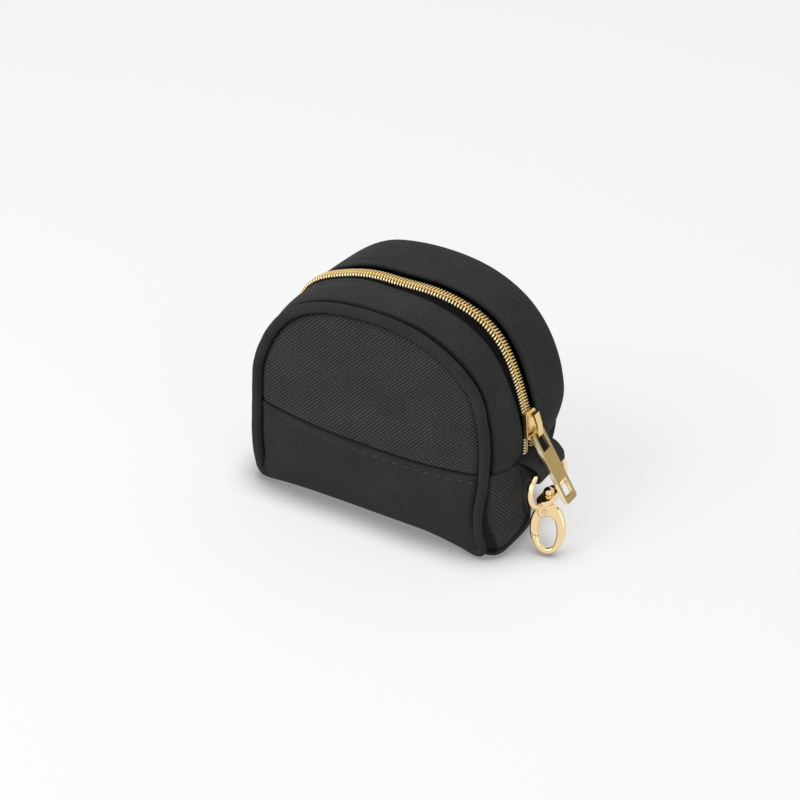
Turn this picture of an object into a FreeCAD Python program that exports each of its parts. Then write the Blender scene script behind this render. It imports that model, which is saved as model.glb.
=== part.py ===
import FreeCAD, Part
import math
import os
import re
import Sketcher

# A D-shaped soft coin purse: two piped D panels, a gusset with a coil zip over the top, a strap loop in the
# side seam, and a swivel snap hook hanging in the loop.
# Frame: origin on the floor under the middle of the purse, +X towards the strap, -Y towards the front, +Z up.

DRIVING = {
    # purse outline, measured along the centre line of the piping
    "bodyWidth": 94.6, "bodyHeight": 85.4, "shoulderRadius": 39.5, "crownRadius": 80.0, "cornerRadius": 6.0,
    "baseDepth": 46.4, "panelTilt": 1.7, "pipingRadius": 1.9, "seatGap": 0.05, "sewnGap": 0.1,
    # panels and lower gusset
    "panelThickness": 1.4, "panelCrown": 3.0, "crownReach": 46.0, "panelSeamHeight": 37.2,
    "gussetThickness": 1.1, "gussetBulge": 5.0, "sideSeamHeight": 33.0, "bulgeCorner": 7.0, "edgeLift": 1.0,
    "liningThickness": 0.5, "liningGap": 0.3,
    # zip
    "ridgeSide": 4.6, "ridgeTop": 3.8, "ridgeShift": 1.0, "zipOffset": -1.5, "stripDrop": 0.05,
    "stripHalfGap": 6.1, "tapeInner": 1.2, "tapeOuter": 6.5, "tapeThickness": 0.5, "zipEndRise": 0.55,
    "coilHalfWidth": 2.2, "coilPitch": 1.15, "turnWidth": 0.5, "coilHeight": 1.3, "coilOverlap": 0.3,
    "cordWidth": 0.6, "partedGap": 1.1,
    # slider and pull
    "sliderRise": 12.8, "sliderLength": 10.2, "noseHalfWidth": 4.1, "tailHalfWidth": 3.2, "sliderCorner": 1.5,
    "topPlate": 1.0, "lowerPlate": 0.9, "chainGap": 0.2, "partingStart": 1.5, "wedgeHalf": 0.55,
    "wedgeNose": 0.4, "wedgeShoulder": 0.9, "wedgeLength": 3.2, "bridgeWidth": 3.0, "bridgeThickness": 0.85,
    "bridgeTail": 4.4, "bridgeTailRise": 1.6,
    "pullLength": 27.5, "pullWidth": 7.2, "pullThickness": 1.5, "pullBarRadius": 0.7, "pullRail": 1.3,
    "eyeWindow": 6.3, "gripWindow": 6.2, "gripBar": 2.2, "pullCorner": 1.3, "pullRest": 0.1, "edgeBreak": 0.3,
    # strap loop
    "strapWidth": 14.6, "strapThickness": 0.9, "strapLength": 6.6, "strapDroop": 2.4, "strapFoldGap": 0.3,
    "strapFoldLength": 4.0, "strapCentre": -1.6, "barClearance": 0.25,
    # swivel eye
    "eyeWire": 1.05, "eyeHalfStraight": 6.8, "eyeHeight": 11.2, "eyeSwing": 10.4, "eyeCentre": -2.35,
    "seatLength": 13.0, "seatWidth": 5.2, "seatThickness": 1.95, "ballDrop": 9.7, "ballRadius": 2.0,
    "shankRadius": 1.0, "runningGap": 0.08, "pressGap": 0.02,
    # hook and lever, measured from the centre of the ball
    "hookSwing": 11.7, "hookLean": 18.5, "hookTurn": 11.0, "neckTop": 3.3, "neckBottom": 4.7,
    "neckUpper": 1.6, "neckLower": 2.4, "hookTop": 3.6, "hookHalfWidth": 6.5, "hookSideBend": 12.5,
    "hookTopBend": 5.6,
    "hookFootBend": 4.8, "hookThickness": 3.2, "holeTop": 8.6, "holeHalfWidth": 3.3, "holeSideBend": 12.0,
    "holeTopBend": 3.0, "holeFootBend": 2.7, "hookFillet": 1.0, "pivotDrop": 6.9, "pivotInset": 1.0,
    "cheekRadius": 2.5, "slotWidth": 1.9, "leverEye": 1.9, "leverReach": 9.2, "leverGap": 0.15,
    "leverRise": 0.45, "leverSideGap": 0.1, "tongueInset": 2.2, "pinRadius": 0.7, "pinCap": 1.05,
    "pinCapRise": 0.35, "springOuter": 1.45, "springThickness": 0.6,
}
# The zip's circle stands off the top and the sides of the D. Its ends and the slider keep to the side seam.
DERIVED = {
    "ridgeRadius": "bodyWidth / 2 + ridgeSide",
    "ridgeHeight": "bodyHeight + ridgeTop - ridgeRadius",
    "zipEndAngle": "asin((ridgeHeight - sideSeamHeight - zipEndRise) / ridgeRadius) / 1deg",
    "sliderAngle": "sliderRise / ridgeRadius * 180 / pi - zipEndAngle",
}

doc = FreeCAD.newDocument("CoinPurse")
sheet = doc.addObject("Spreadsheet::Sheet", "dims")
formulas = {alias: "=" + formula for alias, formula in DERIVED.items()}
for row, (alias, amount) in enumerate({**DRIVING, **formulas}.items(), start=1):
    sheet.set(f"A{row}", alias)
    sheet.set(f"B{row}", str(amount))
    sheet.setAlias(f"B{row}", alias)
doc.recompute()

X, Y, Z = FreeCAD.Vector(1, 0, 0), FreeCAD.Vector(0, 1, 0), FreeCAD.Vector(0, 0, 1)
FULL_TURN = 360.0
FLAT = 1e-6     # sine of the bend under which three points count as one line


def worth(expression):
    """The value of an expression written in sheet names."""
    plain = re.sub(r"dims\.(\w+)", lambda found: repr(float(sheet.get(found.group(1)))), str(expression))
    return FreeCAD.Units.Quantity(plain).Value


def dim(alias):
    return float(sheet.get(alias))


# ---------- sketches and features ----------

def newBody(label, placement=None):
    body = doc.addObject("PartDesign::Body", label)
    body.Label = label
    if placement:
        body.Placement = placement
    return body


def newSketch(body, role="XY_Plane", lift=None):
    sketch = body.newObject("Sketcher::SketchObject", body.Name + "_sketch")
    plane = next(item for item in body.Origin.OriginFeatures if item.Role == role)
    sketch.AttachmentSupport = (plane, [""])
    sketch.MapMode = "FlatFace"
    if lift:
        sketch.setExpression("AttachmentOffset.Base.z", lift)
    return sketch


def bindPoint(sketch, geometry, position, x, y):
    for kind, text in (("DistanceX", x), ("DistanceY", y)):
        index = sketch.addConstraint(Sketcher.Constraint(kind, -1, 1, geometry, position, worth(text)))
        sketch.setExpression(f"Constraints[{index}]", str(text))


def bindRadius(sketch, geometry, radius):
    index = sketch.addConstraint(Sketcher.Constraint("Radius", geometry, worth(radius)))
    sketch.setExpression(f"Constraints[{index}]", str(radius))


def drawCircle(sketch, x, y, radius):
    circle = Part.Circle(FreeCAD.Vector(worth(x), worth(y), 0), Z, worth(radius))
    index = sketch.addGeometry(circle, False)
    bindPoint(sketch, index, 3, x, y)
    bindRadius(sketch, index, radius)


def arcBetween(start, end, radius, leftwards):
    """The short arc from start to end that turns left, or right."""
    chord = end - start
    height = math.sqrt(max(radius ** 2 - chord.Length ** 2 / 4, 0))
    side = FreeCAD.Vector(-chord.y, chord.x, 0).normalize() * (height if leftwards else -height)
    centre = (start + end) * 0.5 + side
    angles = [math.atan2(point.y - centre.y, point.x - centre.x) for point in (start, end)]
    if not leftwards:
        angles.reverse()
    return Part.ArcOfCircle(Part.Circle(centre, Z, radius), *angles)


def drawLoop(sketch, corners):
    """A closed outline. A corner is (x, y), or (x, y, radius, turn) where an arc runs on to the next corner."""
    places = [FreeCAD.Vector(worth(corner[0]), worth(corner[1]), 0) for corner in corners]
    ends = []
    for number, corner in enumerate(corners):
        start, end = places[number], places[(number + 1) % len(places)]
        if len(corner) == 2:
            index = sketch.addGeometry(Part.LineSegment(start, end), False)
            ends.append((index, 1, 2))
        else:
            leftwards = corner[3] == "left"
            index = sketch.addGeometry(arcBetween(start, end, worth(corner[2]), leftwards), False)
            ends.append((index, 1, 2) if leftwards else (index, 2, 1))
    for number, corner in enumerate(corners):
        before, here = ends[number - 1], ends[number]
        sketch.addConstraint(Sketcher.Constraint("Coincident", before[0], before[2], here[0], here[1]))
        bindPoint(sketch, here[0], here[1], corner[0], corner[1])
        if len(corner) > 2:
            bindRadius(sketch, here[0], corner[2])


def addFeature(body, kind, sketch):
    feature = body.newObject("PartDesign::" + kind, f"{body.Name}_{kind}")
    feature.Profile = sketch
    feature.Refine = False
    return feature


def addPad(body, sketch, length, symmetric=False, reversed=False):
    pad = addFeature(body, "Pad", sketch)
    pad.setExpression("Length", length)
    pad.SideType = "Symmetric" if symmetric else "One side"
    pad.Reversed = reversed
    return pad


def addPocket(body, sketch, length, symmetric=True, reversed=False):
    """Cuts a pocket, and makes sure that it takes something away."""
    doc.recompute()
    before = body.Shape.Volume
    pocket = addFeature(body, "Pocket", sketch)
    pocket.setExpression("Length", length)
    pocket.SideType = "Symmetric" if symmetric else "One side"
    pocket.Reversed = reversed
    doc.recompute()
    if not body.Shape.Volume < before:
        raise RuntimeError(f"{pocket.Name} cuts nothing")
    return pocket


def addTurned(body, kind, sketch, axis="V_Axis", angle=None):
    turned = addFeature(body, kind, sketch)
    turned.ReferenceAxis = (sketch, [axis])
    turned.Angle = FULL_TURN
    if angle:
        turned.setExpression("Angle", angle)
        turned.Midplane = True
    return turned


def addPipe(body, section, spine):
    pipe = addFeature(body, "AdditivePipe", section)
    pipe.Spine = spine
    return pipe


# ---------- shared frames and outlines ----------

def panelFrame(side):
    """Frame of a D panel: x is the width, y runs up the panel, z points outwards. side is -1 front, +1 back."""
    tilt = math.radians(dim("panelTilt"))
    up = FreeCAD.Vector(0, side * math.sin(tilt), math.cos(tilt))
    wide = X if side < 0 else -X
    turn = FreeCAD.Rotation(wide, up, wide.cross(up), "XYZ")
    return FreeCAD.Placement(FreeCAD.Vector(0, side * dim("baseDepth") / 2, 0), turn)


SHOULDER_X = "(dims.bodyWidth/2 - dims.shoulderRadius)"
ARM = "(dims.crownRadius - dims.shoulderRadius)"
ARM_RISE = f"sqrt({ARM}^2 - {SHOULDER_X}^2)"
CROWN_Y = "(dims.bodyHeight - dims.crownRadius)"
SHOULDER_Y = f"({CROWN_Y} + {ARM_RISE})"


def dOutline(inset, foot=None, top=None):
    """Corners of the D, inset from the piping's centre line. foot or top leaves only the part over or under it."""
    half = f"(dims.bodyWidth/2 - {inset})"
    shoulder = f"(dims.shoulderRadius - {inset})"
    crown = f"(dims.crownRadius - {inset})"
    joinX = f"({crown}*{SHOULDER_X}/{ARM})"
    joinY = f"({CROWN_Y} + {crown}*{ARM_RISE}/{ARM})"
    floor = f"(dims.pipingRadius + {inset})"
    corner = f"(dims.cornerRadius - {inset})"
    arch = [(half, SHOULDER_Y, shoulder, "left"), (joinX, joinY, crown, "left"),
            (f"-{joinX}", joinY, shoulder, "left"), (f"-{half}", SHOULDER_Y)]
    if foot:
        return [(f"-{half}", foot), (half, foot)] + arch
    base = [(f"-{half}", f"{floor} + {corner}", corner, "left"), (f"-{half} + {corner}", floor),
            (f"{half} - {corner}", floor, corner, "left")]
    if top:
        return base + [(half, f"{floor} + {corner}"), (half, top), (f"-{half}", top)]
    return [(0, floor)] + base[2:] + [(half, f"{floor} + {corner}")] + arch + base[:1] + base[1:2]


def makePanel(label, side, inset, thickness, depth=0.0, foot=None, top=None):
    """A crowned sheet: the outline's prism, kept between two spheres. depth is how far under the skin it is."""
    blank = newBody(label + "_blank", panelFrame(side))
    outline = newSketch(blank)
    drawLoop(outline, dOutline(inset, foot, top))
    addPad(blank, outline, "4*(dims.panelCrown + dims.panelThickness)", symmetric=True)
    skin = (dim("crownReach") ** 2 + dim("panelCrown") ** 2) / (2 * dim("panelCrown"))
    centreDepth = dim("panelThickness") / 2 + dim("panelCrown") - skin
    centre = FreeCAD.Placement(FreeCAD.Vector(0, dim("bodyHeight") / 2, centreDepth), FreeCAD.Rotation(X, 90))
    shells = []
    for name, under in (("outer", depth), ("inner", depth + dim(thickness))):
        ball = doc.addObject("Part::Sphere", f"{label}_{name}")
        ball.Radius = skin - under
        ball.Placement = panelFrame(side) * centre
        shells.append(ball)
    return combine("Common", label, blank, combine("Cut", label + "_shell", *shells))


def combine(kind, label, *pieces):
    """A Part boolean: Cut, Common or MultiFuse."""
    result = doc.addObject("Part::" + kind, label)
    result.Label = label
    if kind.startswith("Multi"):
        result.Shapes = list(pieces)
    else:
        result.Base, result.Tool = pieces
    return result


def makePiping(label, side):
    body = newBody(label, panelFrame(side))
    spine = newSketch(body)
    drawLoop(spine, dOutline("0"))
    section = newSketch(body, "YZ_Plane")
    drawCircle(section, "dims.pipingRadius", "0", "dims.pipingRadius")
    addPipe(body, section, spine)
    return body


# ---------- gusset ----------

def solidFeature(label, shape):
    """A piece made of lofted or repeated solids, which have no sketch of their own."""
    if shape.ShapeType != "Solid" and len(shape.Solids) == 1:
        shape = shape.Solids[0]
    feature = doc.addObject("Part::Feature", label)
    feature.Label = label
    feature.Shape = shape
    return feature


def onPanel(side, x, y, inwards=0.0):
    """A point of a panel's plane, moved inwards along its normal."""
    return panelFrame(side).multVec(FreeCAD.Vector(x if side < 0 else -x, y, -inwards))


def archPoints(inset, place, drop=None):
    """The arch above the side seam, right foot to left foot: corners with a point between each two of them.

    With a drop it follows the zip's circle, that far under its top, and otherwise the D.
    """
    foot, join = dim("sideSeamHeight") + dim("sewnGap") / 2, math.atan2(worth(ARM_RISE), worth(SHOULDER_X))
    reach, height = worth(SHOULDER_X), worth(SHOULDER_Y)
    if drop is None:
        half, shoulder = dim("bodyWidth") / 2 - inset, dim("shoulderRadius") - inset
        right = [(half, foot), (half, (foot + height) / 2), (half, height)]
        for angle in (join / 2, join):
            right.append((reach + shoulder * math.cos(angle), height + shoulder * math.sin(angle)))
        top = (0, dim("bodyHeight") - inset)
    else:
        radius, low = dim("ridgeRadius") - drop, dim("ridgeHeight")
        joinX = reach + dim("shoulderRadius") * math.cos(join)
        ends = [math.asin((level - low) / radius) for level in (foot, height)]
        ends.append(math.acos(joinX / radius))
        angles = [ends[0], (ends[0] + ends[1]) / 2, ends[1], (ends[1] + ends[2]) / 2, ends[2]]
        right = [(radius * math.cos(angle), low + radius * math.sin(angle)) for angle in angles]
        top = (0, low + radius)
    return [place(x, z) for x, z in right + [top] + [(-x, z) for x, z in reversed(right)]]


def curveThrough(start, middle, end):
    bend = (middle - start).cross(end - middle).Length
    if bend < FLAT * start.distanceToPoint(end):
        return Part.LineSegment(start, end).toShape()
    return Part.Arc(start, middle, end).toShape()


def chained(points):
    """Edges through every second point, bent by the points between them."""
    return [curveThrough(*points[number:number + 3]) for number in range(0, len(points) - 2, 2)]


def bandWire(outer, inner):
    """A closed band between an outer and an inner run of points."""
    edges = chained(outer) + chained(inner)
    edges += [Part.LineSegment(*ends).toShape() for ends in ((outer[0], inner[0]), (outer[-1], inner[-1]))]
    return Part.Wire(Part.sortEdges(edges)[0])


def makeStrip(label, side):
    """A zip strip: from the crease beside the piping to the edge beside the coil."""
    crease = dim("pipingRadius") + dim("seatGap")
    edgeY = dim("zipOffset") + side * dim("stripHalfGap")
    wall = dim("gussetThickness")

    def beside(x, z):
        return onPanel(side, x, z, crease)

    def above(x, z):
        return FreeCAD.Vector(x - dim("ridgeShift"), edgeY, z)

    drop = dim("stripDrop")
    wires = [bandWire(archPoints(0, beside), archPoints(wall, beside)),
             bandWire(archPoints(0, above, drop), archPoints(0, above, drop + wall))]
    return solidFeature(label, Part.makeLoft(wires, True, True))


def cradlePoints(half, floor, corner, top, place):
    """A U outline, right top to left top: corners with a point between each two of them."""
    slant = corner * (1 - math.sqrt(0.5))
    right = [top, ((top[0] + half) / 2, (top[1] + floor + corner) / 2), (half, floor + corner),
             (half - slant, floor + slant), (half - corner, floor)]
    return [place(x, z) for x, z in right + [(0, floor)] + [(-x, z) for x, z in reversed(right)]]


def makeCradle(label, depth, thickness):
    """The lower gusset or its lining: sides and bottom in one strip, bulging between the panels."""
    crease = dim("pipingRadius") + dim("seatGap")
    seam = dim("sideSeamHeight") - dim("sewnGap") / 2
    ridge = dim("ridgeRadius") - dim("stripDrop")
    ridgeX = math.sqrt(ridge ** 2 - (dim("ridgeHeight") - seam) ** 2)
    half, lift = dim("bodyWidth") / 2, dim("edgeLift")
    wires = []
    for side, bulged in ((-1, False), (-1, True), (1, True), (1, False)):
        if bulged:
            edgeY = dim("zipOffset") + side * dim("stripHalfGap")
            sizes = (half + dim("gussetBulge"), 0.0, dim("bulgeCorner"), ridgeX)

            def place(x, z, edgeY=edgeY):
                return FreeCAD.Vector(x - dim("ridgeShift"), edgeY, z)
        else:
            sizes = (half, lift, dim("cornerRadius"), half)

            def place(x, z, side=side):
                return onPanel(side, x, z, crease)

        band = []
        for inset in (depth, depth + thickness):
            band.append(cradlePoints(sizes[0] - inset, sizes[1] + inset, sizes[2] - inset,
                                     (sizes[3] - inset, seam), place))
        wires.append(bandWire(*band))
    return solidFeature(label, Part.makeLoft(wires, True, True))


# ---------- zip ----------

def ridgeCentre():
    """The middle of the zip's circle, which sits a little away from the strap's side."""
    return FreeCAD.Vector(-dim("ridgeShift"), dim("zipOffset"), dim("ridgeHeight"))


def zipFrame():
    """Frame of the zip: x and y lie in the ridge's plane, and z points to the front."""
    return FreeCAD.Placement(ridgeCentre(), FreeCAD.Rotation(X, 90))


ZIP_ARC = "(180 + 2*dims.zipEndAngle)"
TAPE_TOP = "(dims.ridgeRadius - dims.coilHeight - dims.seatGap)"


def makeTape(label, side):
    body = newBody(label, zipFrame())
    section = newSketch(body, "YZ_Plane")
    near, far = ("dims.tapeInner", "dims.tapeOuter") if side < 0 else ("-dims.tapeOuter", "-dims.tapeInner")
    drawLoop(section, [(f"{TAPE_TOP} - dims.tapeThickness", near), (TAPE_TOP, near), (TAPE_TOP, far),
                       (f"{TAPE_TOP} - dims.tapeThickness", far)])
    addTurned(body, "Revolution", section, angle=ZIP_ARC)
    return body


def rowShift(along):
    """How far a row of turns stands off the middle at a distance along the zip from the slider's centre."""
    ramp = (dim("partingStart") - along) / (dim("partingStart") + dim("sliderLength") / 2)
    return dim("partedGap") * min(max(ramp, 0.0), 1.0)


def makeCoil(label, side):
    """One row of the zip: a cord with a turn of the coil at every pitch, parted below the slider.

    The turns are bars of a six-sided section whose heads pass the middle, between those of the other row.
    """
    front = -side
    centre = dim("ridgeRadius") - dim("coilHeight") / 2
    step = dim("coilPitch") / centre
    low, high = math.radians(-dim("zipEndAngle")), math.radians(180 + dim("zipEndAngle"))
    tall, wide, reach = dim("coilHeight") / 2, dim("turnWidth") / 2, dim("coilHalfWidth")
    slider = math.radians(dim("sliderAngle"))

    def spot(angle, rise, aside, across):
        radial, along = centre + rise, aside
        return FreeCAD.Vector(radial * math.cos(angle) - along * math.sin(angle),
                              radial * math.sin(angle) + along * math.cos(angle),
                              front * (across + rowShift((angle - slider) * centre)))

    def cordSection(angle):
        inner, outer = reach - 2 * dim("cordWidth"), reach - dim("cordWidth")
        corners = [(-tall / 2, inner), (tall / 2, inner), (tall / 2, outer), (-tall / 2, outer)]
        return Part.makePolygon([spot(angle, rise, 0, across) for rise, across in corners + corners[:1]])

    knots = [low, slider - dim("sliderLength") / 2 / centre, slider + dim("partingStart") / centre]
    spans = math.ceil((high - knots[-1]) / (CORD_SPAN * step))
    knots += [knots[-1] + (high - knots[-1]) * (number + 1) / spans for number in range(spans)]
    cord = Part.makeLoft([cordSection(angle) for angle in knots], True, True)
    half = wide / 2
    hexagon = [(tall, half), (0, wide), (-tall, half), (-tall, -half), (0, -wide), (tall, -half)]
    first = low + step * (0.75 if side < 0 else 1.25)
    turns = []
    for number in range(int((high - first) / step - 0.25) + 1):
        angle = first + number * step
        rim = [spot(angle, rise, aside, -dim("coilOverlap")) for rise, aside in hexagon]
        length = FreeCAD.Vector(0, 0, front * (reach + dim("coilOverlap")))
        turns.append(Part.Face(Part.makePolygon(rim + rim[:1])).extrude(length))
    coil = solidFeature(label, cord.multiFuse(turns))
    coil.Placement = zipFrame()
    return coil


# ---------- slider and pull ----------

def sliderFrame():
    """Frame of the slider: on the zip's circle, x along the zip towards the closed part, z outwards."""
    angle = math.radians(dim("sliderAngle"))
    out = FreeCAD.Vector(math.cos(angle), 0, math.sin(angle))
    along = FreeCAD.Vector(-math.sin(angle), 0, math.cos(angle))
    base = ridgeCentre() + out * dim("ridgeRadius")
    return FreeCAD.Placement(base, FreeCAD.Rotation(along, -Y, out, "XYZ"))


END, CUT = "dims.sliderLength/2", "dims.sliderCorner"
SAG = "(dims.ridgeRadius - sqrt(dims.ridgeRadius^2 - (dims.sliderLength/2)^2))"
LOWER_TOP = f"(dims.coilHeight + dims.seatGap + dims.tapeThickness + {SAG} + dims.chainGap)"
BRIDGE_IN = f"({END} - dims.bridgeThickness)"
BAR_X = f"({BRIDGE_IN} - dims.pullBarRadius - dims.edgeBreak/2)"
BAR_Z = "(dims.chainGap + dims.topPlate + dims.pullBarRadius + dims.seatGap + dims.pullThickness/2)"
BRIDGE_ROOF = f"({BAR_Z} + dims.pullBarRadius + dims.edgeBreak/2)"


def plateOutline(trim="0"):
    """The slider's plan: a broad nose, sides that taper and a narrower tail."""
    nose, tail, far = f"(dims.noseHalfWidth - {trim})", f"(dims.tailHalfWidth - {trim})", f"({END} - {trim})"
    right = [(f"-{far}", f"-({nose} - {CUT})", CUT, "left"), (f"-{far} + {CUT}", f"-{nose}"),
             (f"{far} - {CUT}", f"-{tail}", CUT, "left"), (far, f"-({tail} - {CUT})")]
    left = [(far, f"{tail} - {CUT}", CUT, "left"), (f"{far} - {CUT}", tail),
            (f"-{far} + {CUT}", nose, CUT, "left"), (f"-{far}", f"{nose} - {CUT}")]
    return right + left


def makeSlider(label):
    body = newBody(label, sliderFrame())
    upper = newSketch(body, lift="-(dims.coilHeight + dims.seatGap - dims.chainGap)")
    drawLoop(upper, plateOutline())
    addPad(body, upper, "dims.coilHeight + dims.seatGap + dims.topPlate")
    channel = newSketch(body, lift="dims.chainGap")
    tail = "(dims.coilHalfWidth + dims.chainGap)"
    nose = f"({tail} + dims.partedGap*(1 + dims.edgeBreak/dims.sliderLength))"
    drawLoop(channel, [(f"-{END} - dims.edgeBreak", f"-{nose}"), ("dims.partingStart", f"-{tail}"),
                       (f"{END} + dims.edgeBreak", f"-{tail}"), (f"{END} + dims.edgeBreak", tail),
                       ("dims.partingStart", tail), (f"-{END} - dims.edgeBreak", nose)])
    addPocket(body, channel, "dims.coilHeight + dims.seatGap + dims.chainGap", symmetric=False)
    lower = newSketch(body, lift=f"-{LOWER_TOP} - dims.lowerPlate")
    drawLoop(lower, plateOutline("dims.edgeBreak"))
    addPad(body, lower, "dims.lowerPlate")
    wedge = newSketch(body, lift=f"-{LOWER_TOP} - dims.lowerPlate/2")
    start, shoulder = f"(-{END} + dims.edgeBreak)", f"(-{END} + dims.wedgeShoulder)"
    drawLoop(wedge, [(start, "-dims.wedgeNose"), (shoulder, "-dims.wedgeHalf"),
                     (f"{start} + dims.wedgeLength", "0"), (shoulder, "dims.wedgeHalf"),
                     (start, "dims.wedgeNose")])
    addPad(body, wedge, f"{LOWER_TOP} + dims.lowerPlate/2 + dims.chainGap + dims.topPlate/2")
    bridge = newSketch(body, "XZ_Plane")
    plate = "(dims.chainGap + dims.topPlate/2)"
    wall, bend = "dims.bridgeThickness", "(dims.pullBarRadius + dims.bridgeThickness)"
    tailIn = "(dims.bridgeTail - dims.bridgeThickness)"
    tailTop = f"({plate} + dims.topPlate/2 + dims.bridgeTailRise)"
    drawLoop(bridge, [(f"-{END}", plate), (f"-{BRIDGE_IN}", plate),
                      (f"-{BRIDGE_IN}", f"{BRIDGE_ROOF} - dims.pullBarRadius", "dims.pullBarRadius", "right"),
                      (f"-{BRIDGE_IN} + dims.pullBarRadius", BRIDGE_ROOF),
                      (0, BRIDGE_ROOF), (tailIn, tailTop), (tailIn, plate),
                      ("dims.bridgeTail", plate), ("dims.bridgeTail", f"{tailTop} + {wall}"),
                      (0, f"{BRIDGE_ROOF} + {wall}"),
                      (f"-{END} + {bend}", f"{BRIDGE_ROOF} + {wall}", bend, "left"),
                      (f"-{END}", f"{BRIDGE_ROOF} + {wall} - {bend}")])
    addPad(body, bridge, "dims.bridgeWidth", symmetric=True)
    return body


def pullFrame():
    """Frame of the pull: at its bar, x down the tab. The tab leans on the strap's fold."""
    bar = sliderFrame().multVec(FreeCAD.Vector(-worth(BAR_X), 0, worth(BAR_Z)))
    toFold = foldCentre() - bar
    toFold.y = 0
    off = foldRadius() + dim("pullThickness") / 2 + dim("pullRest")
    lean = math.atan2(toFold.x, -toFold.z) + math.asin(off / toFold.Length)
    down = FreeCAD.Vector(math.sin(lean), 0, -math.cos(lean))
    return FreeCAD.Placement(bar, FreeCAD.Rotation(down, -Y, down.cross(-Y), "XYZ"))


def makePull(label):
    body = newBody(label, pullFrame())
    half, rail, bar = "dims.pullWidth/2", "dims.pullRail", "dims.pullBarRadius"
    inner, bend = f"({half} - {rail})", "dims.pullCorner"
    plan = newSketch(body)
    drawLoop(plan, [(f"-{bar} + {rail}/2", f"-{half}"),
                    (f"dims.pullLength - {bend}", f"-{half}", bend, "left"),
                    ("dims.pullLength", f"-{half} + {bend}"),
                    ("dims.pullLength", f"{half} - {bend}", bend, "left"),
                    (f"dims.pullLength - {bend}", half), (f"-{bar} + {rail}/2", half, f"{rail}/2", "left"),
                    (f"-{bar}", f"{half} - {rail}/2", f"{rail}/2", "left"), (f"-{bar} + {rail}/2", inner),
                    (f"{bar} + dims.eyeWindow", inner), (f"{bar} + dims.eyeWindow", f"-{inner}"),
                    (f"-{bar} + {rail}/2", f"-{inner}", f"{rail}/2", "left"),
                    (f"-{bar}", f"-{half} + {rail}/2", f"{rail}/2", "left")])
    foot = "(dims.pullLength - dims.gripBar)"
    drawLoop(plan, [(f"{foot} - dims.gripWindow", f"-{inner}"), (foot, f"-{inner}"), (foot, inner),
                    (f"{foot} - dims.gripWindow", inner)])
    addPad(body, plan, "dims.pullThickness", symmetric=True)
    rod = newSketch(body, "XZ_Plane")
    drawCircle(rod, 0, 0, bar)
    addPad(body, rod, f"dims.pullWidth - {rail}", symmetric=True)
    return body


# ---------- strap loop ----------

def strapRoot():
    """Where the strap comes out of the side seam, clear of the skin over its whole thickness."""
    skin, drop = dim("ridgeRadius") - dim("stripDrop"), dim("ridgeHeight") - dim("sideSeamHeight")
    slant = (dim("strapThickness") + dim("strapFoldGap") / 2) * dim("strapDroop") / dim("strapLength")
    reach = math.sqrt(skin ** 2 - drop ** 2) - dim("ridgeShift")
    return FreeCAD.Vector(reach + 2 * dim("sewnGap") + slant, dim("strapCentre"), dim("sideSeamHeight"))


def foldRadius():
    return dim("eyeWire") + dim("barClearance") + dim("strapThickness")


def foldCentre():
    return strapRoot() + FreeCAD.Vector(dim("strapLength"), 0, -dim("strapDroop"))


def makeStrap(label):
    """A folded strap: two plies from the seam that open round the swivel eye's bar."""
    start = FreeCAD.Vector(0, 0, 0)
    centre = foldCentre() - strapRoot()
    outer, inner, ply = foldRadius(), foldRadius() - dim("strapThickness"), dim("strapThickness")
    length, gap = math.hypot(centre.x, centre.z), dim("strapFoldGap") / 2
    slope = math.atan2(centre.z, centre.x)

    def drop(along, rise):
        return FreeCAD.Vector(along, 0, rise)

    def skin(radius, half):
        """Tangent plies from the root round the fold and back."""
        lean = math.asin((radius - half) / length)
        touch = [length - radius * math.sin(lean), radius * math.cos(lean)]
        return [drop(0, half), drop(*touch), drop(length + radius, 0), drop(touch[0], -touch[1]),
                drop(0, -half)]

    def closed(points):
        edges = [Part.LineSegment(points[0], points[1]).toShape(), Part.Arc(*points[1:4]).toShape(),
                 Part.LineSegment(points[3], points[4]).toShape(),
                 Part.LineSegment(points[4], points[0]).toShape()]
        return Part.Face(Part.Wire(edges))

    hollow = skin(inner, gap)
    reach = max(length - dim("strapFoldLength"), dim("sewnGap"))
    hollow = [drop(reach, gap)] + hollow[1:4] + [drop(reach, -gap)]
    section = closed(skin(outer, ply + gap)).cut(closed(hollow))
    strap = solidFeature(label, section.extrude(Y * dim("strapWidth")))
    turn = FreeCAD.Rotation(Y, -math.degrees(slope))
    strap.Placement = FreeCAD.Placement(strapRoot() - Y * (dim("strapWidth") / 2), turn)
    return strap


# ---------- swivel eye and rivet ----------

def eyeFrame():
    """Frame of the swivel eye: at the middle of its bar, x along the bar, y up the eye."""
    swing = math.radians(dim("eyeSwing"))
    up = FreeCAD.Vector(-math.sin(swing), 0, math.cos(swing))
    middle = foldCentre()
    middle.y = dim("eyeCentre")
    return FreeCAD.Placement(middle, FreeCAD.Rotation(Y, up, Y.cross(up), "XYZ"))


def ballFrame():
    """Frame of the hook: at the ball's centre, z back along the swivel axis, x across the hook."""
    swing, lean = math.radians(dim("hookSwing")), math.radians(dim("hookLean"))
    level = math.cos(lean)
    down = FreeCAD.Vector(math.sin(swing) * level, -math.sin(lean), -math.cos(swing) * level)
    ball = eyeFrame().multVec(FreeCAD.Vector(0, -dim("ballDrop"), 0))
    across = (X - down * X.dot(down)).normalize()
    across = FreeCAD.Rotation(-down, dim("hookTurn")).multVec(across)
    return FreeCAD.Placement(ball, FreeCAD.Rotation(across, (-down).cross(across), -down, "XYZ"))


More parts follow.
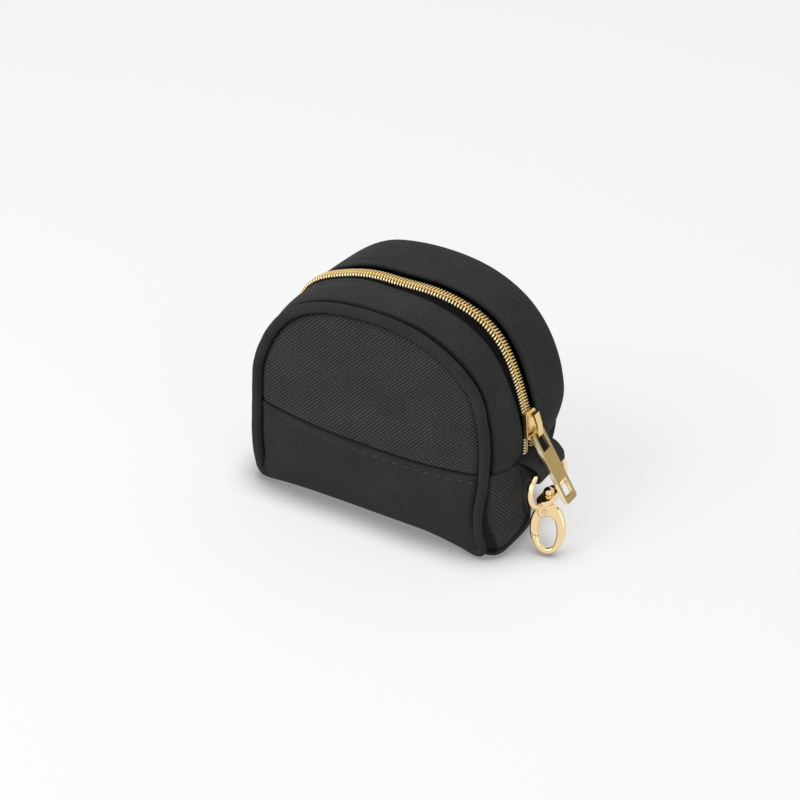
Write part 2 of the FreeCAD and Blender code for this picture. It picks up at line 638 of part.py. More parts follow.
def makeEye(label):
    """An oval wire eye whose lower bar carries a seat, bored and dished for the rivet's ball."""
    body = newBody(label + "_blank", eyeFrame())
    bend, flat, tall = "dims.eyeHeight/2", "dims.eyeHalfStraight", "dims.eyeHeight"
    spine = newSketch(body)
    drawLoop(spine, [(0, f"-{tall}"), (flat, f"-{tall}", bend, "left"),
                     (f"{flat} + {bend}", f"-{bend}", bend, "left"), (flat, 0), (f"-{flat}", 0, bend, "left"),
                     (f"-{flat} - {bend}", f"-{bend}", bend, "left"), (f"-{flat}", f"-{tall}")])
    section = newSketch(body, "YZ_Plane")
    drawCircle(section, f"-{tall}", 0, "dims.eyeWire")
    addPipe(body, section, spine)
    seat = newSketch(body, "XZ_Plane", lift=f"{tall} - dims.seatThickness/2")
    end, side = "dims.seatLength/2", "dims.seatWidth/2"
    drawLoop(seat, [(f"-{end} + {side}", f"-{side}"), (f"{end} - {side}", f"-{side}", side, "left"),
                    (end, 0, side, "left"), (f"{end} - {side}", side),
                    (f"-{end} + {side}", side, side, "left"), (f"-{end}", 0, side, "left")])
    addPad(body, seat, "dims.seatThickness")
    dish = doc.addObject("Part::Sphere", label + "_dish")
    dish.setExpression("Radius", "dims.ballRadius + dims.runningGap")
    dish.Placement = ballFrame()
    bore = doc.addObject("Part::Cylinder", label + "_bore")
    bore.setExpression("Radius", "dims.shankRadius + dims.runningGap")
    bore.setExpression("Height", "dims.neckBottom")
    bore.Placement = ballFrame() * FreeCAD.Placement(Z * -dim("neckBottom"), FreeCAD.Rotation())
    return combine("Cut", label, body, combine("MultiFuse", label + "_tools", dish, bore))


def makeRivet(label):
    """A ball with a shank that ends in the hook's neck."""
    body = newBody(label, ballFrame())
    half = newSketch(body, "XZ_Plane")
    root = "(-sqrt(dims.ballRadius^2 - dims.shankRadius^2))"
    drawLoop(half, [("dims.shankRadius", "-dims.neckBottom"),
                    ("dims.shankRadius", root, "dims.ballRadius", "left"),
                    ("dims.ballRadius", 0, "dims.ballRadius", "left"), (0, "dims.ballRadius"),
                    (0, "-dims.neckBottom")])
    addTurned(body, "Revolution", half)
    return body


# ---------- hook, lever, pin and spring ----------

PIVOT_X, PIVOT_Z = "(-dims.pivotInset)", "(-dims.pivotDrop)"
LEVER_TOP = f"({PIVOT_Z} + dims.leverRise)"
OUTSIDE = "(2*dims.hookSideBend)"     # clear of the hook on every side


def oval(name):
    """An upright oval about the hook's middle line: two side arcs that run into a top arc and a foot arc."""
    half, side = f"dims.{name}HalfWidth", f"dims.{name}SideBend"
    top, foot = f"dims.{name}TopBend", f"dims.{name}FootBend"
    off = f"({side} - {half})"
    rise, fall = f"sqrt(({side} - {top})^2 - {off}^2)", f"sqrt(({side} - {foot})^2 - {off}^2)"
    middle = f"(-dims.{name}Top - {top} - {rise})"
    highX, highZ = f"({off}*{top}/({side} - {top}))", f"({middle} + {rise}*{side}/({side} - {top}))"
    lowX, lowZ = f"({off}*{foot}/({side} - {foot}))", f"({middle} - {fall}*{side}/({side} - {foot}))"
    return [(lowX, lowZ, side, "left"), (highX, highZ, top, "left"), (0, f"-dims.{name}Top", top, "left"),
            (f"-{highX}", highZ, side, "left"), (f"-{lowX}", lowZ, foot, "left"),
            (0, f"{middle} - {fall} - {foot}", foot, "left")]


def aboutPivot(radius, x=None, z=None):
    """The point on a circle about the pivot, left of it and below it, at a given x or z."""
    if x is None:
        return f"({PIVOT_X} - sqrt({radius}^2 - ({z} - {PIVOT_Z})^2))", z
    return x, f"({PIVOT_Z} - sqrt({radius}^2 - ({x} - {PIVOT_X})^2))"


def makeRing(label):
    """The plain oval ring that the hook and its lever are cut from, with rounded rims."""
    body = newBody(label, ballFrame())
    ring = newSketch(body, "XZ_Plane")
    drawLoop(ring, oval("hook"))
    drawLoop(ring, oval("hole"))
    pad = addPad(body, ring, "dims.hookThickness", symmetric=True)
    doc.recompute()
    rims = [f"Edge{number + 1}" for number, edge in enumerate(pad.Shape.Edges)
            if abs(abs(edge.CenterOfMass.y) - dim("hookThickness") / 2) < dim("seatGap")]
    rounding = body.newObject("PartDesign::Fillet", label + "_fillet")
    rounding.Base = (pad, rims)
    rounding.setExpression("Radius", "dims.hookFillet")
    return body


def makeHook(label):
    body = makeRing(label)
    gate = newSketch(body, "XZ_Plane")
    reach, cheek = "(dims.leverReach + dims.leverGap)", "dims.cheekRadius"
    top = f"({LEVER_TOP} + dims.leverGap)"
    wide = f"(-{OUTSIDE})"
    drawLoop(gate, [aboutPivot(cheek, z=top), (wide, top), (wide, PIVOT_Z),
                    (f"{PIVOT_X} - {reach}", PIVOT_Z, reach, "left"), (PIVOT_X, f"{PIVOT_Z} - {reach}"),
                    (PIVOT_X, f"{PIVOT_Z} - {cheek}", cheek, "right")])
    addPocket(body, gate, "dims.hookThickness*2")
    slot = newSketch(body, "XZ_Plane")
    room = "(dims.leverEye + dims.leverGap)"
    drawLoop(slot, [(wide, f"{PIVOT_Z} + {room}"), (wide, f"{PIVOT_Z} - {reach}/2"),
                    (f"{PIVOT_X} + {room}", f"{PIVOT_Z} - {reach}/2"),
                    (f"{PIVOT_X} + {room}", PIVOT_Z, room, "left"), (PIVOT_X, f"{PIVOT_Z} + {room}")])
    addPocket(body, slot, "dims.slotWidth")
    neck = newSketch(body, "XZ_Plane")
    drawLoop(neck, [(0, "-dims.neckBottom"), ("dims.neckLower", "-dims.neckBottom"),
                    ("dims.neckUpper", "-dims.neckTop"), (0, "-dims.neckTop")])
    addTurned(body, "Revolution", neck)
    bore = newSketch(body, lift="-dims.neckTop")
    drawCircle(bore, 0, 0, "dims.shankRadius + dims.pressGap")
    addPocket(body, bore, "dims.neckBottom - dims.neckTop + dims.pressGap", symmetric=False)
    pinHole = newSketch(body, "XZ_Plane")
    drawCircle(pinHole, PIVOT_X, PIVOT_Z, "dims.pinRadius + dims.pressGap")
    addPocket(body, pinHole, "dims.hookThickness*2")
    return body


def makeLever(label):
    """The sprung gate: the ring's own side, with a tongue on the pin."""
    body = makeRing(label)
    rest = newSketch(body, "XZ_Plane")
    near, reach, wide = "(dims.cheekRadius + dims.leverGap)", "dims.leverReach", f"(-{OUTSIDE})"
    drawLoop(rest, [(wide, f"-{OUTSIDE}"), (OUTSIDE, f"-{OUTSIDE}"), (OUTSIDE, 0), (wide, 0)])
    drawLoop(rest, [aboutPivot(near, z=LEVER_TOP), (f"{PIVOT_X} - {reach}", LEVER_TOP),
                    (f"{PIVOT_X} - {reach}", PIVOT_Z, reach, "left"), (PIVOT_X, f"{PIVOT_Z} - {reach}"),
                    (PIVOT_X, f"{PIVOT_Z} - {near}", near, "right")])
    addPocket(body, rest, "dims.hookThickness*2")
    eye = newSketch(body, "XZ_Plane")
    drawCircle(eye, PIVOT_X, PIVOT_Z, "dims.leverEye")
    addPad(body, eye, "dims.slotWidth - 2*dims.leverSideGap", symmetric=True)
    tongue = newSketch(body, "XZ_Plane")
    into = "(dims.tongueInset - dims.hookHalfWidth)"
    drawLoop(tongue, [(PIVOT_X, LEVER_TOP), (into, LEVER_TOP), (into, f"{PIVOT_Z} - {near}"),
                      (PIVOT_X, f"{PIVOT_Z} - dims.leverEye")])
    addPad(body, tongue, "dims.slotWidth - 2*dims.leverSideGap", symmetric=True)
    room = newSketch(body, "XZ_Plane", lift="dims.slotWidth/2")
    drawCircle(room, PIVOT_X, PIVOT_Z, "dims.springOuter + dims.leverSideGap")
    addPocket(body, room, "2*dims.leverSideGap + dims.springThickness", symmetric=False)
    pinHole = newSketch(body, "XZ_Plane")
    drawCircle(pinHole, PIVOT_X, PIVOT_Z, "dims.pinRadius + dims.runningGap")
    addPocket(body, pinHole, "dims.hookThickness*2")
    return body


def makePin(label):
    """The rivet through the cheeks, with a low head on each side."""
    body = newBody(label, ballFrame())
    shank = newSketch(body, "XZ_Plane")
    drawCircle(shank, PIVOT_X, PIVOT_Z, "dims.pinRadius")
    addPad(body, shank, "dims.hookThickness + 2*dims.pinCapRise", symmetric=True)
    for reverse in (False, True):
        edge = "(dims.hookThickness/2 + dims.pressGap)"
        head = newSketch(body, "XZ_Plane", lift=f"-{edge}" if reverse else edge)
        drawCircle(head, PIVOT_X, PIVOT_Z, "dims.pinCap")
        addPad(body, head, "dims.pinCapRise - dims.pressGap", reversed=reverse)
    return body


def makeSpring(label):
    """The lever's flat coil spring, on the pin beside the tongue."""
    body = newBody(label, ballFrame())
    coil = newSketch(body, "XZ_Plane", lift="dims.slotWidth/2 - dims.leverSideGap - dims.springThickness")
    drawCircle(coil, PIVOT_X, PIVOT_Z, "dims.springOuter")
    drawCircle(coil, PIVOT_X, PIVOT_Z, "dims.pinRadius + dims.runningGap")
    addPad(body, coil, "dims.springThickness")
    return body


# ---------- the whole purse ----------

CORD_SPAN = 4     # turns of the coil to each straight stretch of its cord
EDGE = "(dims.pipingRadius + dims.seatGap)"
LINING_EDGE = "(dims.gussetThickness + dims.liningGap + dims.liningThickness + dims.sewnGap)"
SEAM_LOW, SEAM_HIGH = "dims.panelSeamHeight - dims.seatGap/2", "dims.panelSeamHeight + dims.seatGap/2"
FRONT, BACK = -1, 1
underPanel = dim("panelThickness") + dim("liningGap")
pieces = [
    makePanel("front_upper_panel", FRONT, EDGE, "panelThickness", foot=SEAM_HIGH),
    makePanel("front_lower_panel", FRONT, EDGE, "panelThickness", top=SEAM_LOW),
    makePanel("back_panel", BACK, EDGE, "panelThickness"),
    makePanel("front_lining", FRONT, LINING_EDGE, "liningThickness", underPanel),
    makePanel("back_lining", BACK, LINING_EDGE, "liningThickness", underPanel),
    makePiping("front_piping", FRONT),
    makePiping("back_piping", BACK),
    makeStrip("front_zip_gusset", FRONT),
    makeStrip("back_zip_gusset", BACK),
    makeCradle("lower_gusset", 0.0, dim("gussetThickness")),
    makeCradle("gusset_lining", dim("gussetThickness") + dim("liningGap"), dim("liningThickness")),
    makeTape("front_zip_tape", FRONT),
    makeTape("back_zip_tape", BACK),
    makeCoil("front_zip_coil", FRONT),
    makeCoil("back_zip_coil", BACK),
    makeSlider("slider_body"),
    makePull("pull_tab"),
    makeStrap("side_loop"),
    makeEye("swivel_eye"),
    makeRivet("swivel_rivet"),
    makeHook("hook_body"),
    makeLever("hook_lever"),
    makePin("lever_pin"),
    makeSpring("lever_spring"),
]
doc.recompute()

for item in doc.Objects:
    if {"Invalid", "Error"} & set(item.State):
        raise RuntimeError(f"{item.Name} failed: {item.State}")
for piece in pieces:
    if piece.Shape.isNull() or not piece.Shape.isValid():
        raise RuntimeError(f"{piece.Label} is not a valid shape")

os.makedirs("parts", exist_ok=True)
for piece in pieces:
    piece.Shape.exportStep(f"parts/{piece.Label}.step")
    box = piece.Shape.BoundBox
    print(f"{piece.Label:18s} {len(piece.Shape.Solids)} solid(s) {piece.Shape.Volume:9.1f} mm3 "
          f"x {box.XMin:6.1f} {box.XMax:6.1f} "
          f"y {box.YMin:6.1f} {box.YMax:6.1f} z {box.ZMin:6.1f} {box.ZMax:6.1f}")
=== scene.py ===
import math
import bmesh
import bpy
import numpy as np
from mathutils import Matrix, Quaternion, Vector


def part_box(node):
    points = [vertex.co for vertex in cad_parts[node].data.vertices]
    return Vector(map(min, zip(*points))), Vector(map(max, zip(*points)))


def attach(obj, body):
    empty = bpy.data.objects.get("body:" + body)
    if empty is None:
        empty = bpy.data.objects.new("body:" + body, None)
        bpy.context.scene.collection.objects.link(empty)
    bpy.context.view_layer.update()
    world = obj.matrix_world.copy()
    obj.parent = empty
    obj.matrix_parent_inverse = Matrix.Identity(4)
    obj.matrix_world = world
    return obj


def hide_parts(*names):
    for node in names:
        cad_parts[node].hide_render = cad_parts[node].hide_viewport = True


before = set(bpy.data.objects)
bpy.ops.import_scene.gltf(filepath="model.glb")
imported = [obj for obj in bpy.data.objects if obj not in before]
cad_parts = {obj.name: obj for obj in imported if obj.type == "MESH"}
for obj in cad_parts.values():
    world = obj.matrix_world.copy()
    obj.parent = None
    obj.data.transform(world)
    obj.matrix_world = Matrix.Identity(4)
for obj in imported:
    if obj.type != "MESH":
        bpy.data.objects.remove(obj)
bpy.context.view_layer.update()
mm = 0.001


# Grids and meshes.
def loopUv(uv, rows, columns):
    # The four corners' texture places of every cell of a grid.
    cells = [uv[:rows, :columns], uv[1:rows + 1, :columns],
             uv[1:rows + 1, 1:columns + 1], uv[:rows, 1:columns + 1]]
    return np.stack(cells, axis=2).reshape(-1, 4, 2)


def buildMesh(name, points, faces, faceUv=None):
    # An object from points in mm, faces of equal size and a texture place for each face corner.
    mesh = bpy.data.meshes.new(name)
    size = faces.shape[1]
    mesh.vertices.add(len(points))
    mesh.vertices.foreach_set("co", (points * mm).astype(np.float32).ravel())
    mesh.loops.add(faces.size)
    mesh.loops.foreach_set("vertex_index", faces.astype(np.int32).ravel())
    mesh.polygons.add(len(faces))
    mesh.polygons.foreach_set("loop_start", np.arange(0, faces.size, size, dtype=np.int32))
    mesh.polygons.foreach_set("loop_total", np.full(len(faces), size, dtype=np.int32))
    mesh.polygons.foreach_set("use_smooth", np.full(len(faces), True))
    mesh.update(calc_edges=True)
    if faceUv is not None:
        layer = mesh.uv_layers.new(name="cloth")
        layer.data.foreach_set("uv", faceUv.astype(np.float32).ravel())
    made = bpy.data.objects.new(name, mesh)
    bpy.context.collection.objects.link(made)
    return made


def weld(made):
    # Joins points that coincide, so that a pole or a seam closes.
    shape = bmesh.new()
    shape.from_mesh(made.data)
    bmesh.ops.remove_doubles(shape, verts=shape.verts, dist=0.002 * mm)
    bmesh.ops.recalc_face_normals(shape, faces=shape.faces)
    shape.to_mesh(made.data)
    shape.free()


def surface(name, grid, uv=None, closeRows=False, closeColumns=False, welded=False, outFrom=None, paintedShading=None):
    # A grid of points as a mesh of quads. Faces turn away from outFrom, and a painted shade, how much darker
    # each point is, is laid on its points.
    rows, columns = grid.shape[:2]
    cellRows, cellColumns = rows - (not closeRows), columns - (not closeColumns)
    down, across = np.meshgrid(np.arange(cellRows), np.arange(cellColumns), indexing="ij")
    under, beside = (down + 1) % rows, (across + 1) % columns
    faces = np.stack([down * columns + across, under * columns + across,
                      under * columns + beside, down * columns + beside], axis=-1).reshape(-1, 4)
    faceUv = loopUv(uv, cellRows, cellColumns) if uv is not None else None
    points = grid.reshape(-1, 3)
    if outFrom is not None:
        corners = points[faces]
        normals = np.cross(corners[:, 2] - corners[:, 0], corners[:, 3] - corners[:, 1])
        if (normals * (corners.mean(axis=1) - outFrom)).sum() < 0:
            faces = faces[:, ::-1]
            faceUv = faceUv[:, ::-1] if faceUv is not None else None
    made = buildMesh(name, points, faces, faceUv)
    if paintedShading is not None:
        paintShade(made, paintedShading)
    if welded:
        weld(made)
        if outFrom is not None:
            centre = Vector(np.array(outFrom) * mm)
            facing = sum((face.center - centre).dot(face.normal) * face.area for face in made.data.polygons)
            if facing < 0:
                made.data.flip_normals()
    return made


def paintShade(made, paintedShade):
    # Painted shade: how much darker the cloth, or the coil's wire, is at each point, from 0 to 1, where shade
    # falls in a fold, beside a seam or between turns.
    layer = made.data.attributes.new("paintedShade", "FLOAT", "POINT")
    layer.data.foreach_set("value", np.clip(paintedShade, 0, 1).astype(np.float32).ravel())


def thicken(made, thickness, edge=0.0):
    # A cloth thickness inwards, with an optional rounded rim.
    solid = made.modifiers.new("thickness", "SOLIDIFY")
    solid.thickness = thickness * mm
    solid.offset = -1.0
    solid.use_even_offset = False
    if edge:
        bevel = made.modifiers.new("rim", "BEVEL")
        bevel.width = edge * mm
        bevel.segments = 2
        bevel.limit_method = "ANGLE"
        bevel.angle_limit = math.radians(50)


def standIn(made, *nodes):
    # A soft piece of the purse, shown in place of CAD nodes.
    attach(made, "purse")
    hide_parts(*nodes)
    return made


def tube(name, path, across, radius, sides, closed=False):
    # A round tube along a path. across is a direction that is never along the path.
    ahead = np.roll(path, -1, axis=0) - np.roll(path, 1, axis=0)
    if not closed:
        ahead[0], ahead[-1] = path[1] - path[0], path[-1] - path[-2]
    ahead /= np.linalg.norm(ahead, axis=1, keepdims=True)
    first = across - (across * ahead).sum(axis=1, keepdims=True) * ahead
    first /= np.linalg.norm(first, axis=1, keepdims=True)
    second = np.cross(ahead, first)
    turn = np.linspace(0, 2 * math.pi, sides, endpoint=False)
    radius = np.broadcast_to(np.asarray(radius, dtype=float), (len(path),))
    rim = first[:, None] * np.cos(turn)[None, :, None] + second[:, None] * np.sin(turn)[None, :, None]
    grid = path[:, None] + rim * radius[:, None, None]
    steps = np.linalg.norm(np.diff(np.concatenate([path, path[:1]]), axis=0), axis=1)
    along = np.concatenate([[0], np.cumsum(steps)])[:len(path) + closed]
    around = np.linspace(0, 2 * math.pi * radius.mean(), sides + 1)
    uv = np.stack(np.meshgrid(along, around, indexing="ij"), axis=-1)
    return surface(name, grid, uv, closeRows=closed, closeColumns=True)


def softNoise(x, y, size, seed):
    # Soft lumps about as wide as size, between -1 and 1: a few sine waves in seeded directions, averaged.
    rng = np.random.default_rng(seed)
    waves, total = 7, 0
    for angle, stretch, start in rng.random((waves, 3)):
        angle, length = angle * 2 * math.pi, size * (0.6 + 0.9 * stretch)
        along = x * math.cos(angle) + y * math.sin(angle)
        total = total + np.sin(along * math.pi / length + start * 2 * math.pi)
    return total / waves


def bell(value, middle, width):
    # 1 at the middle, falling to 0 on both sides.
    return np.exp(-((value - middle) / width) ** 2)


def ease(value, low, high):
    # 0 below low and 1 above high, with a smooth step between.
    step = np.clip((value - low) / (high - low), 0, 1)
    return step * step * (3 - 2 * step)


def through(value, points):
    # A smooth curve through (place, amount) points: cubic pieces whose slopes follow their neighbours.
    at, amount = np.array(points, dtype=float).T
    slope = np.gradient(amount, at)
    piece = np.clip(np.searchsorted(at, value) - 1, 0, len(at) - 2)
    width = at[piece + 1] - at[piece]
    step = np.clip((value - at[piece]) / width, 0, 1)
    rise = step * step * (3 - 2 * step)
    leave, arrive = step * (1 - step) ** 2 * width, step * step * (step - 1) * width
    between = amount[piece] * (1 - rise) + amount[piece + 1] * rise
    return between + slope[piece] * leave + slope[piece + 1] * arrive


# The purse's outline.

# Sizes in mm along the middle of the piping. The floor is z = 0, the front is -y.
outline = {
    "shoulderRadius": 39.5, "crownRadius": 80.0, "cornerRadius": 5.5,
    "tilt": 1.7,            # how far each D panel leans outwards, in degrees
    "seam": 35.0,           # height of the seam between the front's two cloths
    "seamSag": 1.3,         # how far that seam sags in the middle
    "seamLean": 0.35,       # how far it falls at the strap's end and rises at the other
    # How far the piping stands out from the flat D on each side, as (height, amount).
    "frontRight": ((0, 3.0), (3.5, -0.4), (8, -3.0), (14, -4.2), (21, -3.9), (29, -2.5), (38, -1.7),
                   (57, -1.4), (69, 0.7), (84, 0.0)),
    "frontLeft": ((0, -0.5), (5, 0.2), (10, 0.6), (20, 1.15), (33, 0.95), (50, 0.2), (61, -0.2),
                  (71, 0.5), (79, 1.2), (86, 0.3)),
    "backRight": ((0, -8.0), (5, -7.5), (12, -5.0), (22, -2.6), (36, -1.1), (50, -0.6), (75, 0.0)),
    "backLeft": ((0, -1.0), (30, 0.3), (60, 0.0)),
    "tuck": 3.6, "lift": 0.9,     # how far the lower edges are rolled under, and how far they rise
    "cover": 2.8,                 # how far the cloth comes down over the piping there
    "backSink": 1.5,              # how far the back's arch lies under the strip's crest
    "driftFrom": (12, 40),        # how far from the middle the amounts above begin and are full
    "edgeFade": (2.5, 12),        # heights between which the cover and the roll fade out
    "coverSpan": (52, 10), "rollSpan": (46, 6),   # half length along the edge, and how sharply each ends
    "rollFade": (20, 44),         # where the roll fades out towards the strap's end
    "seamHalf": 46,               # half length of the front seam
    "wander": 0.15,               # how unevenly the piping runs
}
piping = {
    "radius": 1.9, "sides": 20, "steps": 520,
    "slimmer": 0.15, "flatter": 0.5,      # how much thinner it is at the strap's foot, and under the cloth
    "ripple": 0.015, "ripples": 37,       # its unevenness along the cord
}
frontLow, frontHigh = (np.array(corner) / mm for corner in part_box("front_piping"))
backLow = np.array(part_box("back_piping")[0]) / mm
outline["halfWidth"] = (frontHigh[0] - frontLow[0]) / 2 - piping["radius"]
outline["height"] = frontHigh[2] - piping["radius"]
outline["halfDepth"] = (backLow[1] - frontHigh[1]) / 2 + piping["radius"]


def outlineLegs():
    # The D as legs of (length, bend), from the middle of its base to the right and all the way round.
    half, height, corner = outline["halfWidth"], outline["height"], outline["cornerRadius"]
    shoulder, crown = outline["shoulderRadius"], outline["crownRadius"]
    reach, arm = half - shoulder, crown - shoulder
    turn = math.acos(reach / arm)
    side = height - crown + math.sqrt(arm ** 2 - reach ** 2) - piping["radius"] - corner
    right = [(half - corner, 0), (corner * math.pi / 2, 1 / corner), (side, 0),
             (shoulder * turn, 1 / shoulder)]
    return right + [(2 * crown * (math.pi / 2 - turn), 1 / crown)] + right[::-1]


legs = outlineLegs()
legStarts = np.concatenate([[0], np.cumsum([leg[0] for leg in legs])])
girth = legStarts[-1]


def flatOutline(distance):
    # Places and headings on the flat D at distances round it: straight legs, and arcs of constant bend.
    spot, heading, starts = np.array([0.0, piping["radius"]]), 0.0, []
    for length, bend in legs:
        starts.append((*spot, heading))
        if bend:
            spot = spot + np.array([math.sin(heading + bend * length) - math.sin(heading),
                                    math.cos(heading) - math.cos(heading + bend * length)]) / bend
        else:
            spot = spot + length * np.array([math.cos(heading), math.sin(heading)])
        heading += bend * length
    distance = np.mod(distance, girth)
    leg = np.clip(np.searchsorted(legStarts, distance, side="right") - 1, 0, len(legs) - 1)
    starts, bends = np.array(starts)[leg], np.array([leg[1] for leg in legs])[leg]
    gone, bent = distance - legStarts[leg], np.where(bends == 0, 1.0, bends)
    heading = starts[..., 2] + bends * gone
    x = np.where(bends == 0, np.cos(starts[..., 2]) * gone, (np.sin(heading) - np.sin(starts[..., 2])) / bent)
    z = np.where(bends == 0, np.sin(starts[..., 2]) * gone, (np.cos(starts[..., 2]) - np.cos(heading)) / bent)
    return starts[..., 0] + x, starts[..., 1] + z, heading


def settle(x, z, side):
    # The flat outline as it really lies: each side drifts by its own curve.
    right, left = ("frontRight", "frontLeft") if side < 0 else ("backRight", "backLeft")
    drift = np.where(x > 0, through(z, outline[right]), -through(z, outline[left]))
    return x + drift * ease(np.abs(x), *outline["driftFrom"]), z


def alongEdge(x, z, span):
    # 1 along a lower edge, fading out above it and at the span's ends.
    half, sharpness = span
    return (1 - ease(z, *outline["edgeFade"])) * np.clip(1 - np.abs(x / half) ** sharpness, 0, 1)


def covered(x, z):
    # 1 where the panel's cloth comes down over the piping.
    return alongEdge(x, z, outline["coverSpan"])


def rolledUnder(x, z):
    # 1 where the edge is rolled under the purse, which it is no more at the strap's end.
    return alongEdge(x, z, outline["rollSpan"]) * (1 - ease(x, *outline["rollFade"]))


def placeOnPanel(x, z, side, out=0.0):
    # A point of a D panel's plane in the purse's frame, out along the panel's normal.
    lean = math.radians(outline["tilt"])
    y = outline["halfDepth"] + z * math.sin(lean) + out * math.cos(lean)
    return np.stack(np.broadcast_arrays(x, side * y, z * math.cos(lean) - out * math.sin(lean)), axis=-1)


def crease(distance, side):
    # The middle of the piping, in mm, and the outward direction in the panel's plane.
    x, z, heading = flatOutline(distance)
    sway = outline["wander"] * (np.sin(distance * 6 * math.pi / girth + side)
                                + 0.7 * np.sin(distance * 16 * math.pi / girth + 2.1 * side))
    sway = sway * ease(z, 6, 20)
    sway = sway - (outline["backSink"] * ease(z, 28, 55) if side > 0 else 0.0)
    lean = 0.8 * outline["wander"] * np.sin(distance * 10 * math.pi / girth + 0.6) * ease(z, 4, 18)
    x, z = settle(x + sway * np.sin(heading), z - sway * np.cos(heading), side)
    outward = np.stack([np.sin(heading), 0 * heading, -np.cos(heading)], axis=-1)
    rolled = rolledUnder(x, z)
    return placeOnPanel(x, z + outline["lift"] * rolled, side, lean - outline["tuck"] * rolled), outward


def distanceAt(height):
    # How far round the D its right side reaches a height.
    return legStarts[2] + height - (piping["radius"] + outline["cornerRadius"])


middle = np.array([0.0, 0.0, 40.0])
print("outline ready")


# Front and back panels.
panel = {
    "crown": 3.8, "crownPower": 2.6, "tuck": 1.0, "creaseDip": 1.5, "creaseWide": 0.04, "thickness": 1.2,
    "rings": 80, "ringPower": 0.75, "rollStart": 0.85, "centre": 43.0,
    "edgeRun": 6, "edgeSteps": 12,        # finer steps beside the front seam's ends
    "seamDip": 0.75, "seamWide": 0.55, "lapRise": 0.4, "lapStart": (0.0, 0.8), "lapEnd": (2.4, 4.5),
    "stitchDrop": 2.9, "stitchDip": 0.22, "stitchWide": 0.5, "sagWide": 11,
    "lumps": 0.3, "lumpSize": 26,
    # Hollows of the lower cloth, as (depth, x, lean of x with height, width, z, height).
    "hollows": ((1.2, 31, 0.35, 6.5, 13, 9), (0.5, -8, 0, 14, 14, 8)), "hollowLevel": 14,
    # Painted shade: dark beside the piping, fading by mm from it, and along the front seam.
    "reach": 44, "rimShade": 0.75, "rimFade": (0.5, 1.8),     # dark beside the piping, by mm from it
    "seamShade": 0.6, "seamSpread": 0.45,
}


def panelRelief(x, z, side, rim):
    # How far a panel's cloth stands out of its plane: a crown that falls to the piping, with soft lumps, and
    # on the front the seam's dip, the lap below it, the stitches' dip and two hollows. rim is 0 in the middle
    # and 1 at the piping.
    out = panel["crown"] * (1 - np.abs(rim) ** panel["crownPower"])
    out = out + panel["lumps"] * softNoise(x, z, panel["lumpSize"], 3 + side) * (1 - rim ** 4)
    if side < 0:
        below = outline["seam"] - z
        out = out - panel["seamDip"] * bell(below, 0.0, panel["seamWide"])
        out = out + panel["lapRise"] * ease(below, *panel["lapStart"]) * (1 - ease(below, *panel["lapEnd"]))
        out = out - panel["stitchDip"] * bell(below, panel["stitchDrop"], panel["stitchWide"])
        for depth, at, lean, wide, level, tall in panel["hollows"]:
            middleX = at + lean * (panel["hollowLevel"] - z)
            out = out - depth * bell(x, middleX, wide) * bell(z, level, tall)
    return out


def seamFall(x):
    # How far the front seam hangs below its height at the sides.
    share = x / outline["seamHalf"]
    return outline["seamSag"] * np.clip(1 - share ** 2, 0, 1) + outline["seamLean"] * x / outline["seamHalf"]


def panelGrid(side, start, end, centreHeight, steps):
    # Rings from a centre out to the piping, between two distances round the D.
    around = np.linspace(start, end, steps)
    if start != 0:
        run = panel["edgeRun"]
        fine = np.linspace(0, run, panel["edgeSteps"], endpoint=False)
        around = np.concatenate([start + fine, np.linspace(start + run, end - run, steps), end - fine[::-1]])
    rim, outward = crease(around, side)
    cover = covered(rim[:, 0], rim[:, 2] - outline["lift"])
    rim = rim - outward * (panel["tuck"] - outline["cover"] * cover)[:, None]
    ring = np.linspace(0, 1, panel["rings"])[:, None] ** panel["ringPower"]
    x = rim[:, 0] * ring
    z = centreHeight + (rim[:, 2] - centreHeight) * ring
    roll = np.clip((ring - panel["rollStart"]) / (1 - panel["rollStart"]), 0, 1)
    rolled = rolledUnder(rim[:, 0], rim[:, 2] - outline["lift"])
    out = panelRelief(x, z, side, np.broadcast_to(ring, x.shape))
    out = out - rolled * outline["tuck"] * (1 - np.sqrt(1 - roll ** 2))
    out = out - panel["creaseDip"] * bell(ring, 1.0, panel["creaseWide"]) * (1 - cover)
    # Painted shade beside the piping, where the cloth doesn't cover it, and along the front seam.
    fromRim = (1 - ring) * panel["reach"]
    paintedShading = panel["rimShade"] * (1 - ease(fromRim, *panel["rimFade"])) * (1 - cover)
    sag = seamFall(x) * (side < 0) * bell(z, outline["seam"], panel["sagWide"])
    if side < 0:
        paintedShading = paintedShading + panel["seamShade"] * bell(z, outline["seam"], panel["seamSpread"])
    return placeOnPanel(x, z - sag, side, out), np.stack([x, z], axis=-1), paintedShading


def makePanel(name, nodes, side, start, end, centreHeight, steps):
    grid, uv, paintedShading = panelGrid(side, start, end, centreHeight, steps)
    made = surface(name, grid, uv, welded=True, outFrom=middle, paintedShading=paintedShading)
    thicken(made, panel["thickness"])
    return standIn(made, *nodes)


seam, seamAt = outline["seam"], distanceAt(outline["seam"])
frontUpper = makePanel("frontUpperCloth", ("front_upper_panel", "front_lining"), -1,
                       seamAt, girth - seamAt, seam, 220)
frontLower = makePanel("frontLowerCloth", ("front_lower_panel",), -1, -seamAt, seamAt, seam, 220)
backPanel = makePanel("backCloth", ("back_panel", "back_lining"), 1, 0, girth, panel["centre"], 320)
print("panels ready")


